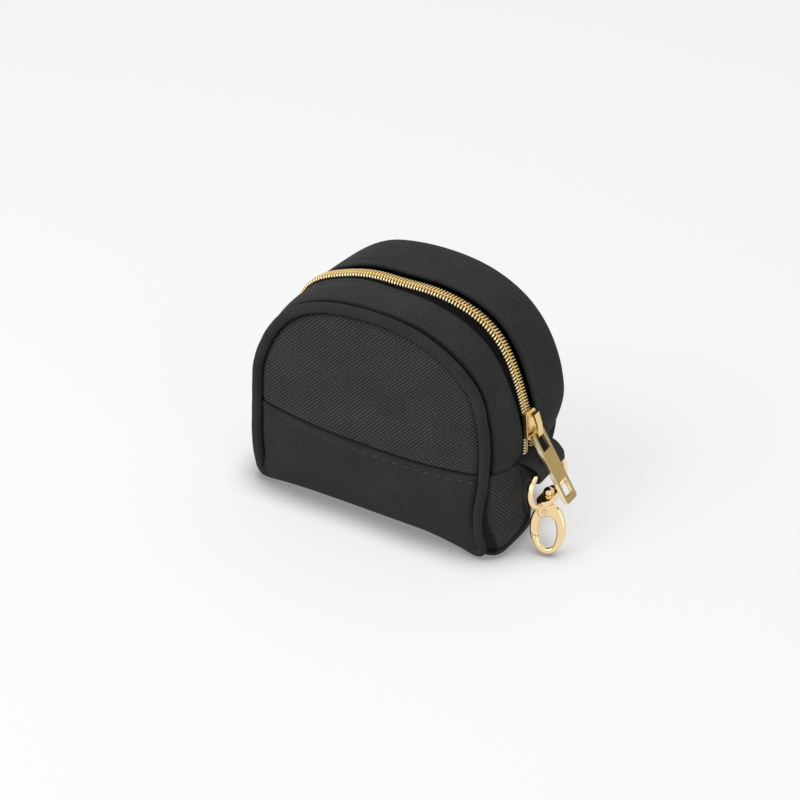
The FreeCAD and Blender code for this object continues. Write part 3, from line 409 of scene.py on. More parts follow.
# Piping.
def makePiping(name, node, side):
    # A round cord along the crease, a little uneven: thinner at the strap's foot and where cloth hides it.
    distance = np.linspace(0, girth, piping["steps"], endpoint=False)
    path, outward = crease(distance, side)
    slim = ease(path[:, 0], 20, 44) * (1 - ease(path[:, 2], 20, 48))
    hidden = covered(path[:, 0], path[:, 2] - outline["lift"]) * (1 - ease(path[:, 0], 34, 44))
    ripple = piping["ripple"] * np.sin(distance * 2 * math.pi * piping["ripples"] / girth)
    radius = piping["radius"] * (1 - piping["slimmer"] * slim - piping["flatter"] * hidden + ripple)
    cord = tube(name, path, outward, radius, piping["sides"], closed=True)
    return standIn(cord, node)


frontPiping = makePiping("frontPipingCloth", "front_piping", -1)
backPiping = makePiping("backPipingCloth", "back_piping", 1)
print("piping ready")


# Zip strips, tapes and lower gusset.
coilLow, coilHigh = (np.array(corner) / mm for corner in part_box("front_zip_coil"))
zipPlace = {
    "radius": (coilHigh[0] - coilLow[0]) / 2, "x": (coilHigh[0] + coilLow[0]) / 2, "y": -1.5,
    "drop": 0.05, "seamAtCrease": 35.3, "seamDroop": 1.7, "backGap": 3.9,
    # How far the front strip's edge keeps from the middle of the zip, as (degrees round it, distance).
    "frontGap": ((-20, 4.6), (12, 4.8), (25, 5.7), (40, 6.7), (55, 7.4), (70, 7.0), (90, 5.6), (110, 4.9),
                 (200, 4.8)),
    # How far the ridge bulges out of its circle at both shoulders and sags between them, as (degrees round
    # it, height, width).
    "swells": ((50, 3.4, 19), (91, -1.9, 14), (134, 2.6, 14)),
    "sink": 0.4, "deepSink": (140, 16, 1.2),      # how far the strips' edges lie under it, and a deeper place
}
zipPlace["centre"] = coilHigh[2] - zipPlace["radius"]
strip = {
    "steps": 300, "rows": 56, "thickness": 0.95, "rim": 0.3, "overlap": 1.0,
    "archShare": 0.62,                    # the arch's share of the girth
    "puff": 0.9, "lumps": 0.3, "lumpSize": 15, "lumpsAcross": 14,
    "edgeDip": (0.84, 0.035, 0.22),       # a dip beside the folded edge, as (share across, width, depth)
    # The dip beside the front piping, and the swell between it and the edge.
    "groove": 0.8, "grooveWide": 0.6,
    "shoulder": 0.9, "shoulderStart": (1.9, 4.2), "shoulderEnd": (0.35, 0.9),
    # How far the back strip's crest stands out, as (place along x, amount), where it lies and its heights.
    "backCrest": ((-50, -1.5), (-38, 0.2), (-31, 2.4), (-20, 4.6), (-8, 5.3), (10, 5.5), (50, 5.5)),
    "crestAt": 0.2, "crestPower": 0.6, "crestFrom": (24, 50),
    # Painted shade beside the piping, at the side seam and towards the folded edge.
    "creaseShade": 0.8, "creaseFade": (2.6, 3.7), "seamShade": 0.75, "seamSpread": 0.9,
    "edgeShade": 0.5, "edgeFade": (0.93, 1.0),
}
tape = {
    "steps": 260, "rows": 14, "thickness": 0.45,
    "inner": 0.9, "frontWide": 8.8, "backWide": 6.4, "under": 1.5,
    "hidden": (-1.6, 0.4), "deeper": 0.5,     # where it dives under the strip's edge, and how far
}
gusset = {
    "steps": 360, "rows": 80, "thickness": 1.0, "floorGap": 0.1, "overlap": 0.8,
    "corner": 3.5, "backCorner": 8.5,     # bend of its foot at the front and at the back
    "backFrom": (-0.2, 0.8),              # where across it the one becomes the other
    "backCut": 0.5, "cutFade": (9, 24),   # how far its foot is cut back, per mm towards the back
    # Its widest line on the strap's side and on the other, as (height, distance from the middle).
    "right": ((0, 51.8), (8, 51.9), (20, 51.6), (30, 50.9), (36, 50.6)),
    "left": ((0, 52.0), (8, 52.6), (20, 53.0), (30, 52.8), (36, 52.6)),
    # How square its cross-section is above the foot and at the foot.
    "square": 2.6, "footSquare": 11, "footHeight": (2, 13),
    # On the strap's side a hollow behind a slanting crest, and a crease over the rolled foot.
    "hollow": 2.9, "crestY": -9.5, "crestSlant": 0.1, "crestTop": 34, "crestWide": 6, "hollowEnd": (8, 20),
    "hollowLow": (5, 13), "hollowHigh": (29, 34), "hollowEase": 0.3,
    "fold": 1.3, "foldHeight": 3.6, "foldCurve": 0.006, "foldY": -24, "foldWide": 0.65,
    "foldFrom": (-25, -18),
    "dent": 1.2, "dentAt": (0, 9), "dentHeight": (28, 6),     # a dent on the other side
    "lumps": 0.35, "lumpSize": 11,
    # Painted shade at the side seam, beside the piping, in the crease and behind the crest.
    "seamShade": 0.8, "seamSpread": (0.6, 0.8), "creaseShade": 0.7, "creaseFade": (2.2, 3.3),
    "foldShade": 0.6, "foldSpread": 0.8, "crestShade": 0.35, "crestSpread": 2.5, "crestFrom": (3, 9),
}


def ridgeRadius(angle, under=0.0):
    # The ridge's radius about the zip's centre, less a depth under it.
    turned = np.degrees(angle)
    swell = sum(height * bell(turned, at, wide) for at, height, wide in zipPlace["swells"])
    return zipPlace["radius"] - under + swell


def edgeSink(angle):
    # How far under the ridge the strips' folded edges lie.
    at, wide, depth = zipPlace["deepSink"]
    return zipPlace["sink"] + depth * bell(np.degrees(angle), at, wide)


def edgeGap(angle, side):
    # How far those edges keep from the middle of the zip.
    return zipPlace["backGap"] + 0 * angle if side > 0 else through(np.degrees(angle), zipPlace["frontGap"])


def overZip(angle, across, radius):
    # Points at a radius about the zip's centre. across is towards the back.
    return np.stack([zipPlace["x"] + radius * np.cos(angle), zipPlace["y"] + across + 0 * angle,
                     zipPlace["centre"] + radius * np.sin(angle)], axis=-1)


def seamHeight(across):
    # Height of the side seam. across runs from -1 at the front piping to 1 at the back.
    return zipPlace["seamAtCrease"] - zipPlace["seamDroop"] * (1 - np.abs(across) ** 1.7)


def stripRelief(side, along, over, path, beside):
    # How far a strip stands out of the straight line from the crease to its edge. The back one rises to a
    # crest near the piping. The front one has a groove beside the piping and a shoulder after it.
    arch = np.clip(np.sin(math.pi * over), 0, 1)
    lumps = softNoise(along, over * strip["lumpsAcross"], strip["lumpSize"], 11 + side)
    puff = strip["puff"] * arch ** 0.8 + strip["lumps"] * lumps * arch
    at, wide, depth = strip["edgeDip"]
    puff = puff - depth * bell(over, at, wide)
    if side > 0:
        crest = over / strip["crestAt"]
        tall = ease(path[..., 2], *strip["crestFrom"]) * through(path[..., 0], strip["backCrest"])
        return puff + tall * crest ** strip["crestPower"] * np.exp(strip["crestPower"] * (1 - crest))
    swell = strip["shoulder"] * ease(beside, *strip["shoulderStart"])
    puff = puff + swell * (1 - ease(over, *strip["shoulderEnd"]))
    return puff - strip["groove"] * bell(beside, piping["radius"], strip["grooveWide"])


def makeStrip(name, node, side):
    # A strip from the crease to its folded edge beside the coil.
    step = np.linspace(0, 1, strip["steps"])[:, None]
    over = np.linspace(0, 1, strip["rows"])[None]
    edgeAcross = side * zipPlace["backGap"] / outline["halfDepth"]
    low = seamHeight(side * (1 - over * (1 - abs(edgeAcross))))
    start = distanceAt(low)
    path, outward = crease(start + step * (girth - 2 * start), side)
    foot = low - strip["overlap"] - zipPlace["centre"]
    lowAngle = np.arcsin(foot / (zipPlace["radius"] - zipPlace["drop"]))
    angle = lowAngle + step * (math.pi - 2 * lowAngle)
    edge = overZip(angle, side * edgeGap(angle, side), ridgeRadius(angle, zipPlace["drop"] + edgeSink(angle)))
    over = np.broadcast_to(over, angle.shape)
    grid = path * (1 - over[..., None]) + edge * over[..., None]
    along = step * girth * strip["archShare"] + 0 * over
    beside = over * np.linalg.norm(edge - path, axis=-1)
    grid = grid + outward * stripRelief(side, along, over, path, beside)[..., None]
    uv = np.stack([along, over * np.linalg.norm(edge[0, -1] - path[0, 0])], axis=-1)
    fromSeam = np.minimum(step, 1 - step) * girth * strip["archShare"]
    # Painted shade beside the piping, at the side seam and towards the folded edge.
    paintedShading = strip["creaseShade"] * (1 - ease(beside, *strip["creaseFade"]))
    paintedShading = paintedShading + strip["seamShade"] * bell(fromSeam, 0, strip["seamSpread"])
    paintedShading = paintedShading + strip["edgeShade"] * ease(over, *strip["edgeFade"])
    made = surface(name, grid, uv, outFrom=middle, paintedShading=paintedShading)
    thicken(made, strip["thickness"], strip["rim"])
    return standIn(made, node)


def makeTape(name, node, side, wide):
    # The flat tape beside the coil, under the strip's folded edge: across times angle, at the ridge's radius.
    across = np.linspace(tape["inner"], wide, tape["rows"])[None]
    low = math.asin((coilLow[2] - zipPlace["centre"]) / zipPlace["radius"])
    angle = np.linspace(low, math.pi - low, tape["steps"])[:, None] + 0 * across
    hidden = ease(across - edgeGap(angle, side), *tape["hidden"])
    dip = tape["under"] + hidden * (edgeSink(angle) + tape["deeper"])
    grid = overZip(angle, side * across, ridgeRadius(angle, dip))
    uv = np.stack([angle * zipPlace["radius"], across + 0 * angle], axis=-1)
    made = surface(name, grid, uv, outFrom=middle)
    thicken(made, tape["thickness"])
    return standIn(made, node)


def gussetCrest(z):
    # Where the crest on the strap's side lies, along y.
    return gusset["crestY"] + gusset["crestSlant"] * (gusset["crestTop"] - z)


def gussetFold(y):
    # Height of the crease over the rolled foot.
    return gusset["foldHeight"] + gusset["foldCurve"] * (y - gusset["foldY"]) ** 2


def gussetRelief(y, z, right, left, across, sideways):
    # Folds of the lower gusset, in mm outwards: a hollow behind a crest, and a crease over the rolled foot.
    crest = gussetCrest(z)
    hollow = ease(y, crest, crest + gusset["crestWide"]) * (1 - ease(y, *gusset["hollowEnd"]))
    hollow = hollow * ease(z, *gusset["hollowLow"])
    hollow = hollow * (1 - gusset["hollowEase"] * ease(z, *gusset["hollowHigh"]))
    out = -gusset["hollow"] * right * hollow
    fold = bell(z, gussetFold(y), gusset["foldWide"]) * ease(y, *gusset["foldFrom"])
    out = out - gusset["fold"] * right * fold
    out = out - gusset["dent"] * left * bell(z, *gusset["dentHeight"]) * bell(y, *gusset["dentAt"])
    lumps = softNoise(y, z, gusset["lumpSize"], 29)
    return out + gusset["lumps"] * lumps * sideways * (1 - across ** 4)


def gussetShade(y, z, right, sideways, fromSeam, beside):
    # Painted shade at the side seam, beside the piping, in the crease and behind the crest.
    paintedShading = gusset["seamShade"] * bell(fromSeam, *gusset["seamSpread"])
    paintedShading = paintedShading + gusset["creaseShade"] * (1 - ease(beside, *gusset["creaseFade"])) * sideways
    paintedShading = paintedShading + gusset["foldShade"] * right * bell(z, gussetFold(y), gusset["foldSpread"])
    crest = gussetCrest(z)
    behind = ease(y, crest, crest + gusset["crestSpread"]) * ease(z, *gusset["crestFrom"])
    return paintedShading + gusset["crestShade"] * right * behind


def makeLowerGusset():
    # Sides and base in one strip between the two creases. Each line across it rises from the creases to the
    # gusset's widest line: along the floor, round a tight corner and up a side that leans.
    step = np.linspace(0, 1, gusset["steps"])[:, None]
    across = np.linspace(-1, 1, gusset["rows"])[None]
    seamTop = seamHeight(across) + gusset["overlap"]
    top = distanceAt(seamTop)
    distance = top * (1 - 2 * step)
    onRight, onLeft = distance > 0, distance < 0
    front, back = (crease(distance, side)[0] for side in (-1, 1))
    share = ((across + 1) / 2 + 0 * step)[..., None]
    straight = front * (1 - share) + back * share
    far, baseEnd, sideStart = np.abs(distance), legStarts[1], legStarts[2]
    bend = np.clip((far - baseEnd) / (sideStart - baseEnd), 0, 1) * math.pi / 2
    backMore = (gusset["backCorner"] - gusset["corner"]) * ease(across, *gusset["backFrom"])
    corner = gusset["corner"] + backMore * onRight
    low = gusset["floorGap"] + corner * (1 - np.cos(bend))
    climb = np.clip((far - sideStart) / (top - sideStart), 0, 1)
    height = low + climb * (seamTop - gusset["floorGap"] - corner)
    widest = np.where(onRight, through(height, gusset["right"]), through(height, gusset["left"]))
    behind = np.clip(straight[..., 1], 0, None)
    widest = widest - gusset["backCut"] * behind * (1 - ease(height, *gusset["cutFade"])) * onRight
    wide = widest - corner * (1 - np.sin(bend)) - (widest - corner) * (1 - np.clip(far / baseEnd, 0, 1))
    full = np.stack([np.sign(distance) * wide, straight[..., 1], height], axis=-1)
    power = gusset["square"] + gusset["footSquare"] * (1 - ease(height, *gusset["footHeight"]))
    weight = (1 - np.abs(across) ** power)[..., None]
    grid = straight * (1 - weight) + full * weight
    sideways = np.sin(bend)
    right, left = sideways * onRight, sideways * onLeft
    relief = gussetRelief(grid[..., 1], grid[..., 2], right, left, across, sideways)
    grid[..., 0] += np.sign(distance) * relief
    grid[..., 2] = np.maximum(grid[..., 2], gusset["floorGap"])
    beside = share[..., 0] * 2 * outline["halfDepth"]
    # Painted shade at the seam, beside the piping, in the crease and behind the crest.
    paintedShading = gussetShade(grid[..., 1], grid[..., 2], right, sideways, top - far, beside)
    made = surface("lowerGussetCloth", grid, np.stack([distance, beside], axis=-1), outFrom=middle, paintedShading=paintedShading)
    thicken(made, gusset["thickness"])
    return standIn(made, "lower_gusset", "gusset_lining")


frontStrip = makeStrip("frontStripCloth", "front_zip_gusset", -1)
backStrip = makeStrip("backStripCloth", "back_zip_gusset", 1)
lowerGusset = makeLowerGusset()
frontTape = makeTape("frontTapeCloth", "front_zip_tape", -1, tape["frontWide"])
backTape = makeTape("backTapeCloth", "back_zip_tape", 1, tape["backWide"])
print("gussets ready")


# Zip coil.
sliderLow, sliderHigh = (np.array(corner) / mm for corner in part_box("slider_body"))
sliderHeight = (sliderLow[2] + sliderHigh[2]) / 2 - zipPlace["centre"]
coilFoot = math.degrees(math.asin((zipPlace["centre"] - coilLow[2]) / zipPlace["radius"]))
coil = {
    "pitch": 1.15, "wire": 0.34, "headWire": 0.12, "headWide": 0.8,       # the wire is thicker at its heads
    "inner": -0.35, "outer": 2.6, "height": 1.7, "start": 0.4,
    "flatAcross": 0.75, "flatUp": 0.6,    # how boxy a turn's oval is, across and upwards
    "sliderAngle": math.degrees(math.asin(sliderHeight / zipPlace["radius"])), "sliderLength": 10.2,
    "parted": 1.1, "partingStart": 1.5,
    "lowAngle": -coilFoot, "highAngle": 180 + coilFoot, "turnPoints": 18, "sides": 8,
}
coil["centre"] = zipPlace["radius"] - coil["height"] / 2


def rowShift(angle):
    # How far a row stands off the middle: nothing above the slider, parted from the slider down.
    along = (angle - math.radians(coil["sliderAngle"])) * coil["centre"]
    ramp = (coil["partingStart"] - along) / (coil["partingStart"] + coil["sliderLength"] / 2)
    return coil["parted"] * np.clip(ramp, 0, 1)


def boxy(wave, power):
    # A sine or cosine made flatter at its ends, for an oval nearer to a rectangle.
    return np.sign(wave) * np.abs(wave) ** power


def makeCoil(name, node, side):
    # One continuous wire: flat oval turns, each a pitch further, whose heads pass the middle.
    step = coil["pitch"] / coil["centre"]
    low, high = math.radians(coil["lowAngle"]), math.radians(coil["highAngle"])
    turns = int((high - low) / step) - 1
    turned = np.arange(turns * coil["turnPoints"]) / coil["turnPoints"]
    angle = low + step * (turned + (0.5 if side > 0 else 0.0) + coil["start"])
    phase = 2 * math.pi * turned
    wide = (coil["outer"] - coil["inner"]) / 2 - coil["wire"]
    tall = coil["height"] / 2 - coil["wire"]
    out = (coil["outer"] + coil["inner"]) / 2 + wide * boxy(np.cos(phase), coil["flatAcross"])
    rise = tall * boxy(np.sin(phase), coil["flatUp"])
    path = overZip(angle, side * (out + rowShift(angle)), ridgeRadius(angle, coil["height"] / 2 - rise))
    along = np.stack([-np.sin(angle), 0 * angle, np.cos(angle)], axis=-1)
    wire = coil["wire"] * (1 + coil["headWire"] * bell(out, coil["inner"], coil["headWide"]))
    row = tube(name, path, along, wire, coil["sides"])
    # Painted shade: darker where the wire dips down between the turns.
    paintShade(row, np.repeat(0.5 - 0.5 * rise / tall, coil["sides"]))
    return standIn(row, node)


frontCoil = makeCoil("frontCoilWire", "front_zip_coil", -1)
backCoil = makeCoil("backCoilWire", "back_zip_coil", 1)
print("coil ready")


# Strap loop.
strapLow, strapHigh = (np.array(corner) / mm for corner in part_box("side_loop"))
strap = {
    "root": (strapLow[0] - 1.4, strapHigh[2] - 0.3), "rootLift": 1.8, "ply": 0.9, "gap": 0.15, "hub": 2.2,
    "wall": 0.95, "rim": 0.22, "rows": 30, "steps": 140, "backWide": 1.5,
    "lumps": 0.1, "lumpSize": 4, "lumpsAcross": 14,
    # From the front edge to the back one: the turn's radius, its centre and how far the upper ply bows out.
    "turn": (2.1, 2.1), "hubX": (-0.4, 0.0), "hubZ": (-0.5, 0.5), "bow": (0.9, 2.4),
}


def makeStrap():
    # Upper ply, turn and lower ply in one band: two lines that touch a circle round the eye's bar. The circle
    # rises towards the back, and the upper ply bows outwards.
    side = np.linspace(0, 1, strap["rows"])[None]
    bend, bowed, hubX, hubZ = (np.interp(side, (0, 1), strap[key]) for key in ("turn", "bow", "hubX", "hubZ"))
    hubX, hubZ = strapHigh[0] - strap["hub"] + hubX, strapLow[2] + strap["hub"] + hubZ
    rootX, rootZ = strap["root"][0], strap["root"][1] + strap["rootLift"] * side
    length, slope = np.hypot(hubX - rootX, hubZ - rootZ), np.arctan2(hubZ - rootZ, hubX - rootX)
    half = strap["ply"] / 2 + strap["gap"]
    lean = np.arcsin((bend - half) / length)
    straight = np.sqrt(length ** 2 - (bend - half) ** 2)
    arc = bend * (math.pi + 2 * lean)
    distance = np.linspace(0, 1, strap["steps"])[:, None] * (2 * straight + arc)
    before = np.clip(1 - distance / straight, 0, 1) * straight
    after = np.clip(distance - straight - arc, 0, None)
    turned = slope + lean - np.clip(distance - straight, 0, arc) / bend
    bow = bowed * np.sin(math.pi * np.clip(distance / (straight + 0.8 * bend), 0, 1))
    bow = bow + strap["lumps"] * softNoise(strap["lumpsAcross"] * side, distance, strap["lumpSize"], 41)
    x = hubX - (bend + bow) * np.sin(turned) + (after - before) * np.cos(turned)
    z = hubZ + (bend + bow) * np.cos(turned) + (after - before) * np.sin(turned)
    y = strapLow[1] + (strapHigh[1] + strap["backWide"] - strapLow[1]) * side + 0 * distance
    uv = np.stack([distance, y], axis=-1)
    hub = np.array([hubX.mean(), (strapLow[1] + strapHigh[1]) / 2, hubZ.mean()])
    band = surface("strapCloth", np.stack([x, y, z], axis=-1), uv, outFrom=hub)
    thicken(band, strap["wall"], strap["rim"])
    band.modifiers["thickness"].offset = 0.0
    return standIn(band, "side_loop")


strapBand = makeStrap()
print("strap ready")


# Topstitch.
stitch = {"pitch": 4.2, "share": 0.62, "radius": 0.24, "sink": 0.12, "rings": 6, "sides": 6, "reach": 44.6}


def stitchRow(name, path, up):
    # Thread stitches: a short bead that dips at both ends, one per pitch along a path. up is off the cloth.
    steps = np.linalg.norm(np.diff(path, axis=0), axis=1)
    along = np.concatenate([[0], np.cumsum(steps)])
    pitch, radius, rings, sides = (stitch[key] for key in ("pitch", "radius", "rings", "sides"))
    centres = np.arange(pitch / 2, along[-1] - pitch / 2, pitch)
    ring = np.linspace(-1, 1, rings)
    places = centres[:, None] + ring * pitch * stitch["share"] / 2
    spot = np.stack([np.interp(places, along, path[:, axis]) for axis in range(3)], axis=-1)
    ahead = np.gradient(spot, axis=1)
    ahead /= np.linalg.norm(ahead, axis=-1, keepdims=True)
    beside = np.cross(ahead, up)
    turn = np.arange(sides) * 2 * math.pi / sides
    fat = radius * np.sqrt(np.clip(1.02 - ring ** 4, 0.02, 1))
    rim = beside[:, :, None] * np.cos(turn)[:, None] + up * np.sin(turn)[:, None] * 0.8
    spot = spot + up * (radius * (0.5 - 1.3 * ring ** 4) - stitch["sink"])[None, :, None]
    points = (spot[:, :, None] + rim * fat[:, None, None]).reshape(-1, 3)
    start = np.arange(len(centres))[:, None, None] * rings * sides
    down = np.arange(rings - 1)[None, :, None] * sides
    side = np.arange(sides)[None, None]
    nextSide = (side + 1) % sides
    near, far = start + down, start + down + sides
    corners = np.broadcast_arrays(near + side, near + nextSide, far + nextSide, far + side)
    made = buildMesh(name, points, np.stack(corners, axis=-1).reshape(-1, 4))
    weld(made)
    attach(made, "purse")
    return made


def frontSeamStitches():
    # The topstitch that holds the lower cloth's lap.
    x = np.linspace(-stitch["reach"], stitch["reach"], 400)
    z = np.full_like(x, outline["seam"] - panel["stitchDrop"])
    out = panelRelief(x, z, -1, np.abs(x) / outline["seamHalf"])
    return stitchRow("frontSeamThread", placeOnPanel(x, z - seamFall(x), -1, out), np.array([0.0, -1.0, 0.0]))


frontThread = frontSeamStitches()
print("stitches ready")


# Shader maths.
class Socket:
    # One output of a node tree. Arithmetic on it adds Math nodes.

    def __init__(self, tree, output):
        self.tree, self.output = tree, output

    def node(self, kind, inputs=None, output=0, **settings):
        made = self.tree.nodes.new(kind)
        for key, value in settings.items():
            setattr(made, key, value)
        for key, value in (inputs or {}).items():
            if isinstance(value, Socket):
                self.tree.links.new(value.output, made.inputs[key])
            else:
                made.inputs[key].default_value = value
        return Socket(self.tree, made.outputs[output])

    def math(self, operation, *others):
        values = dict(enumerate((self,) + others))
        return self.node("ShaderNodeMath", values, operation=operation)

    def __add__(self, other):
        return self.math("ADD", other)

    def __sub__(self, other):
        return self.math("SUBTRACT", other)

    def __mul__(self, other):
        return self.math("MULTIPLY", other)

    def __pow__(self, other):
        return self.math("POWER", other)

    def __rsub__(self, other):
        return (self * -1.0) + other

    __radd__ = __add__
    __rmul__ = __mul__

    def split(self, axis):
        return self.node("ShaderNodeSeparateXYZ", {0: self}, axis)

    def ramp(self, low, high, start=0.0, end=1.0, smooth=True):
        inputs = {0: self, 1: low, 2: high, 3: start, 4: end}
        kind = "SMOOTHSTEP" if smooth else "LINEAR"
        return self.node("ShaderNodeMapRange", inputs, interpolation_type=kind)

    def blend(self, first, second):
        inputs = {0: self, 6: first, 7: second}
        return self.node("ShaderNodeMix", inputs, 2, data_type="RGBA")

    def noise(self, scale, detail=2.0):
        inputs = {"Vector": self, "Scale": scale, "Detail": detail}
        return self.node("ShaderNodeTexNoise", inputs)

    def speckle(self, scale, detail, low, high, span=(0.3, 0.7)):
        # Noise stretched from a span of it to low and high.
        return self.noise(scale, detail).ramp(*span, low, high, smooth=False)

    def arches(self, pitch):
        # A row of rounded arches, one per pitch.
        return (self * (math.pi / pitch)).math("SINE").math("ABSOLUTE")

    def bump(self, distance, strength=1.0, under=None):
        inputs = {"Height": self, "Distance": distance, "Strength": strength}
        if under is not None:
            inputs["Normal"] = under
        return self.node("ShaderNodeBump", inputs)


def grey(level):
    return (level, level, level, 1.0)


class Finish:
    # A material with one Principled shader; keyword values go to its inputs.

    def __init__(self, name):
        self.material = bpy.data.materials.new(name)
        self.material.use_nodes = True
        self.tree = self.material.node_tree
        self.tree.nodes.clear()
        self.shader = self.tree.nodes.new("ShaderNodeBsdfPrincipled")
        self.output = self.tree.nodes.new("ShaderNodeOutputMaterial")
        self.tree.links.new(self.shader.outputs[0], self.output.inputs[0])

    def source(self, kind, output=0, **settings):
        made = self.tree.nodes.new(kind)
        for key, value in settings.items():
            setattr(made, key, value)
        return Socket(self.tree, made.outputs[output])

    def cloth(self):
        return self.source("ShaderNodeUVMap", uv_map="cloth")

    def paintedShade(self):
        # The painted shade stored on the mesh's points.
        return self.source("ShaderNodeAttribute", 2, attribute_name="paintedShade")

    def objectPlace(self):
        return self.source("ShaderNodeTexCoord", 3)

    def set(self, **values):
        for key, value in values.items():
            socket = self.shader.inputs[key.replace("_", " ")]
            if isinstance(value, Socket):
                self.tree.links.new(value.output, socket)
            else:
                socket.default_value = value
        return self.material


def dress(material, *objects):
    for made in objects:
        made.data.materials.clear()
        made.data.materials.append(material)


# Cloth materials.
fabric = {
    "weavePitch": 1.04, "uneven": 0.35,       # mm between diagonal rows of the weave, and how they vary
    "mottle": 0.1, "mottleScale": 90.0, "fuzz": 0.2, "fuzzScale": 2600.0, "sheen": 0.03,
    "threadTone": 0.060, "threadScale": 1500.0, "tapeTone": 0.006, "tapeRib": 0.6, "tapeRow": 0.9,
    # Each cloth's tones on the yarn's crowns and in the pits, its relief in mm and its roughness, and then
    # how much the rows and the cross rows of its weave show and how sharp they are. The pieces share one
    # weave: their copies differ as painted light, to follow how the light falls on each piece and which of
    # the weave's rows it picks out.
    "upperCloth": (0.105, 0.013, 0.16, 0.85, 0.85, 0.7, 2.0),
    "lowerCloth": (0.042, 0.024, 0.05, 0.85, 0.7, 0.25, 1.4),
    "stripCloth": (0.054, 0.014, 0.09, 0.85, 0.5, 0.5, 1.4),
    "gussetCloth": (0.074, 0.014, 0.10, 0.85, 0.15, 0.85, 1.4),
    "pipingCloth": (0.042, 0.0252, 0.08, 0.9, 0.6, 0.4, 1.4),
    "strapCloth": (0.058, 0.016, 0.06, 0.8, 0.4, 0.4, 1.4),
}


def weaveHeight(made, rows, cross, sharp):
    # Yarn crowns on a diagonal lattice: rows up to the right times rows down to the right, by their weights.
    place = made.cloth()
    drift = place.noise(0.12, 1.0) * 0.4 + place.noise(0.8, 2.0) * 0.15
    u, v = place.split(0) + drift, place.split(1)
    pitch, vary = fabric["weavePitch"] * math.sqrt(2), fabric["uneven"]
    first, second = (u - v).arches(pitch) ** sharp, (u + v).arches(pitch) ** sharp
    uneven = place.speckle(0.95, 1.0, 1 - vary, 1 + 0.4 * vary)
    return (first * rows + (1 - rows)) * (second * cross + (1 - cross)) * uneven


def clothFinish(name):
    # The weave's height, 0 to 1, gives both the tone between pit and crown, partly the weave's own pattern
    # and partly painted light on the crowns and painted shade in the pits, and the bump, over a soft uneven
    # tone. The mesh's painted shade dims it in folds, beside seams and beside the piping.
    top, pit, relief, roughness, rows, cross, sharp = fabric[name]
    made = Finish(name)
    threads = weaveHeight(made, rows, cross, sharp)
    place = made.objectPlace()
    mottle, fuzzy = fabric["mottle"], fabric["fuzz"]
    shade = place.speckle(fabric["mottleScale"], 3.0, 1 - mottle, 1 + mottle)
    fuzz = place.speckle(fabric["fuzzScale"], 2.0, 1 - fuzzy, 1 + fuzzy, (0.25, 0.75))
    tone = threads.blend(grey(pit), grey(top))
    # Random mottle and fuzz, times one less the painted shade.
    mottleAndPaintedShade = shade * fuzz * (1.0 - made.paintedShade())
    tone = tone.node("ShaderNodeVectorMath", {0: tone, "Scale": mottleAndPaintedShade}, operation="SCALE")
    normal = (threads + fuzz * 0.15).bump(relief * mm, 0.9)
    return made.set(Base_Color=tone, Roughness=roughness, Normal=normal, Sheen_Weight=fabric["sheen"],
                    Sheen_Roughness=0.5, Specular_IOR_Level=0.08)


def threadFinish():
    # Fine speckles between a tone and a darker one.
    made = Finish("thread")
    tone = fabric["threadTone"]
    shade = made.objectPlace().speckle(fabric["threadScale"], 3.0, 0.75, 1.2)
    colour = shade.blend(grey(0.8 * tone), grey(tone))
    return made.set(Base_Color=colour, Roughness=0.7, Specular_IOR_Level=0.35)


def tapeFinish():
    # A knitted tape: ribs across it and fine rows along it.
    made = Finish("tape")
    place, tone = made.cloth(), fabric["tapeTone"]
    knit = place.split(0).arches(fabric["tapeRib"]) * 0.6 + place.split(1).arches(fabric["tapeRow"]) * 0.4
    colour = knit.blend(grey(tone * 0.5), grey(tone * 1.6))
    return made.set(Base_Color=colour, Roughness=0.85, Normal=knit.bump(0.06 * mm), Specular_IOR_Level=0.04)


for name, pieces in (("upperCloth", (frontUpper, backPanel)), ("lowerCloth", (frontLower,)),
                     ("stripCloth", (frontStrip, backStrip)), ("gussetCloth", (lowerGusset,)),
                     ("pipingCloth", (frontPiping, backPiping)), ("strapCloth", (strapBand,))):
    dress(clothFinish(name), *pieces)
dress(threadFinish(), frontThread)
dress(tapeFinish(), frontTape, backTape)


# Metal materials.
metal = {
    # Each metal's tone, roughness and the width of its softened edges in mm.
    "claspMetal": ((0.93, 0.70, 0.40, 1.0), 0.13, 0.45), "sliderMetal": ((0.86, 0.64, 0.28, 1.0), 0.22, 0.35),
    "pinMetal": ((0.80, 0.60, 0.32, 1.0), 0.2, 0.2), "springMetal": ((0.62, 0.60, 0.56, 1.0), 0.25, 0.1),
    "waves": 220.0, "smudges": 420.0,     # how fine the shine's waviness and its smudges are
    # The pull's broad faces get a darker painted shade and its narrow sides a pale painted highlight.
    "pullFaceShade": (0.44, 0.32, 0.13, 1.0), "pullSideHighlight": (0.97, 0.84, 0.55, 1.0),
    "pullRough": 0.26, "pullEdge": 0.3,
    # The coil's tone between its edges, a pale painted highlight along its outer edge and painted shade down
    # between its turns, where that edge begins, in mm from the middle, and the depths between which the
    # painted shade darkens it.
    "coilRung": (0.80, 0.57, 0.22, 1.0), "coilEdgeHighlight": (0.95, 0.85, 0.55, 1.0),
    "coilPitShade": (0.20, 0.12, 0.03, 1.0), "coilEdgeFrom": (1.6, 2.2), "coilDepth": (0.9, 0.35),
}


def softEdges(made, width):
    soft = made.source("ShaderNodeBevel", samples=6)
    soft.output.node.inputs["Radius"].default_value = width * mm
    return soft


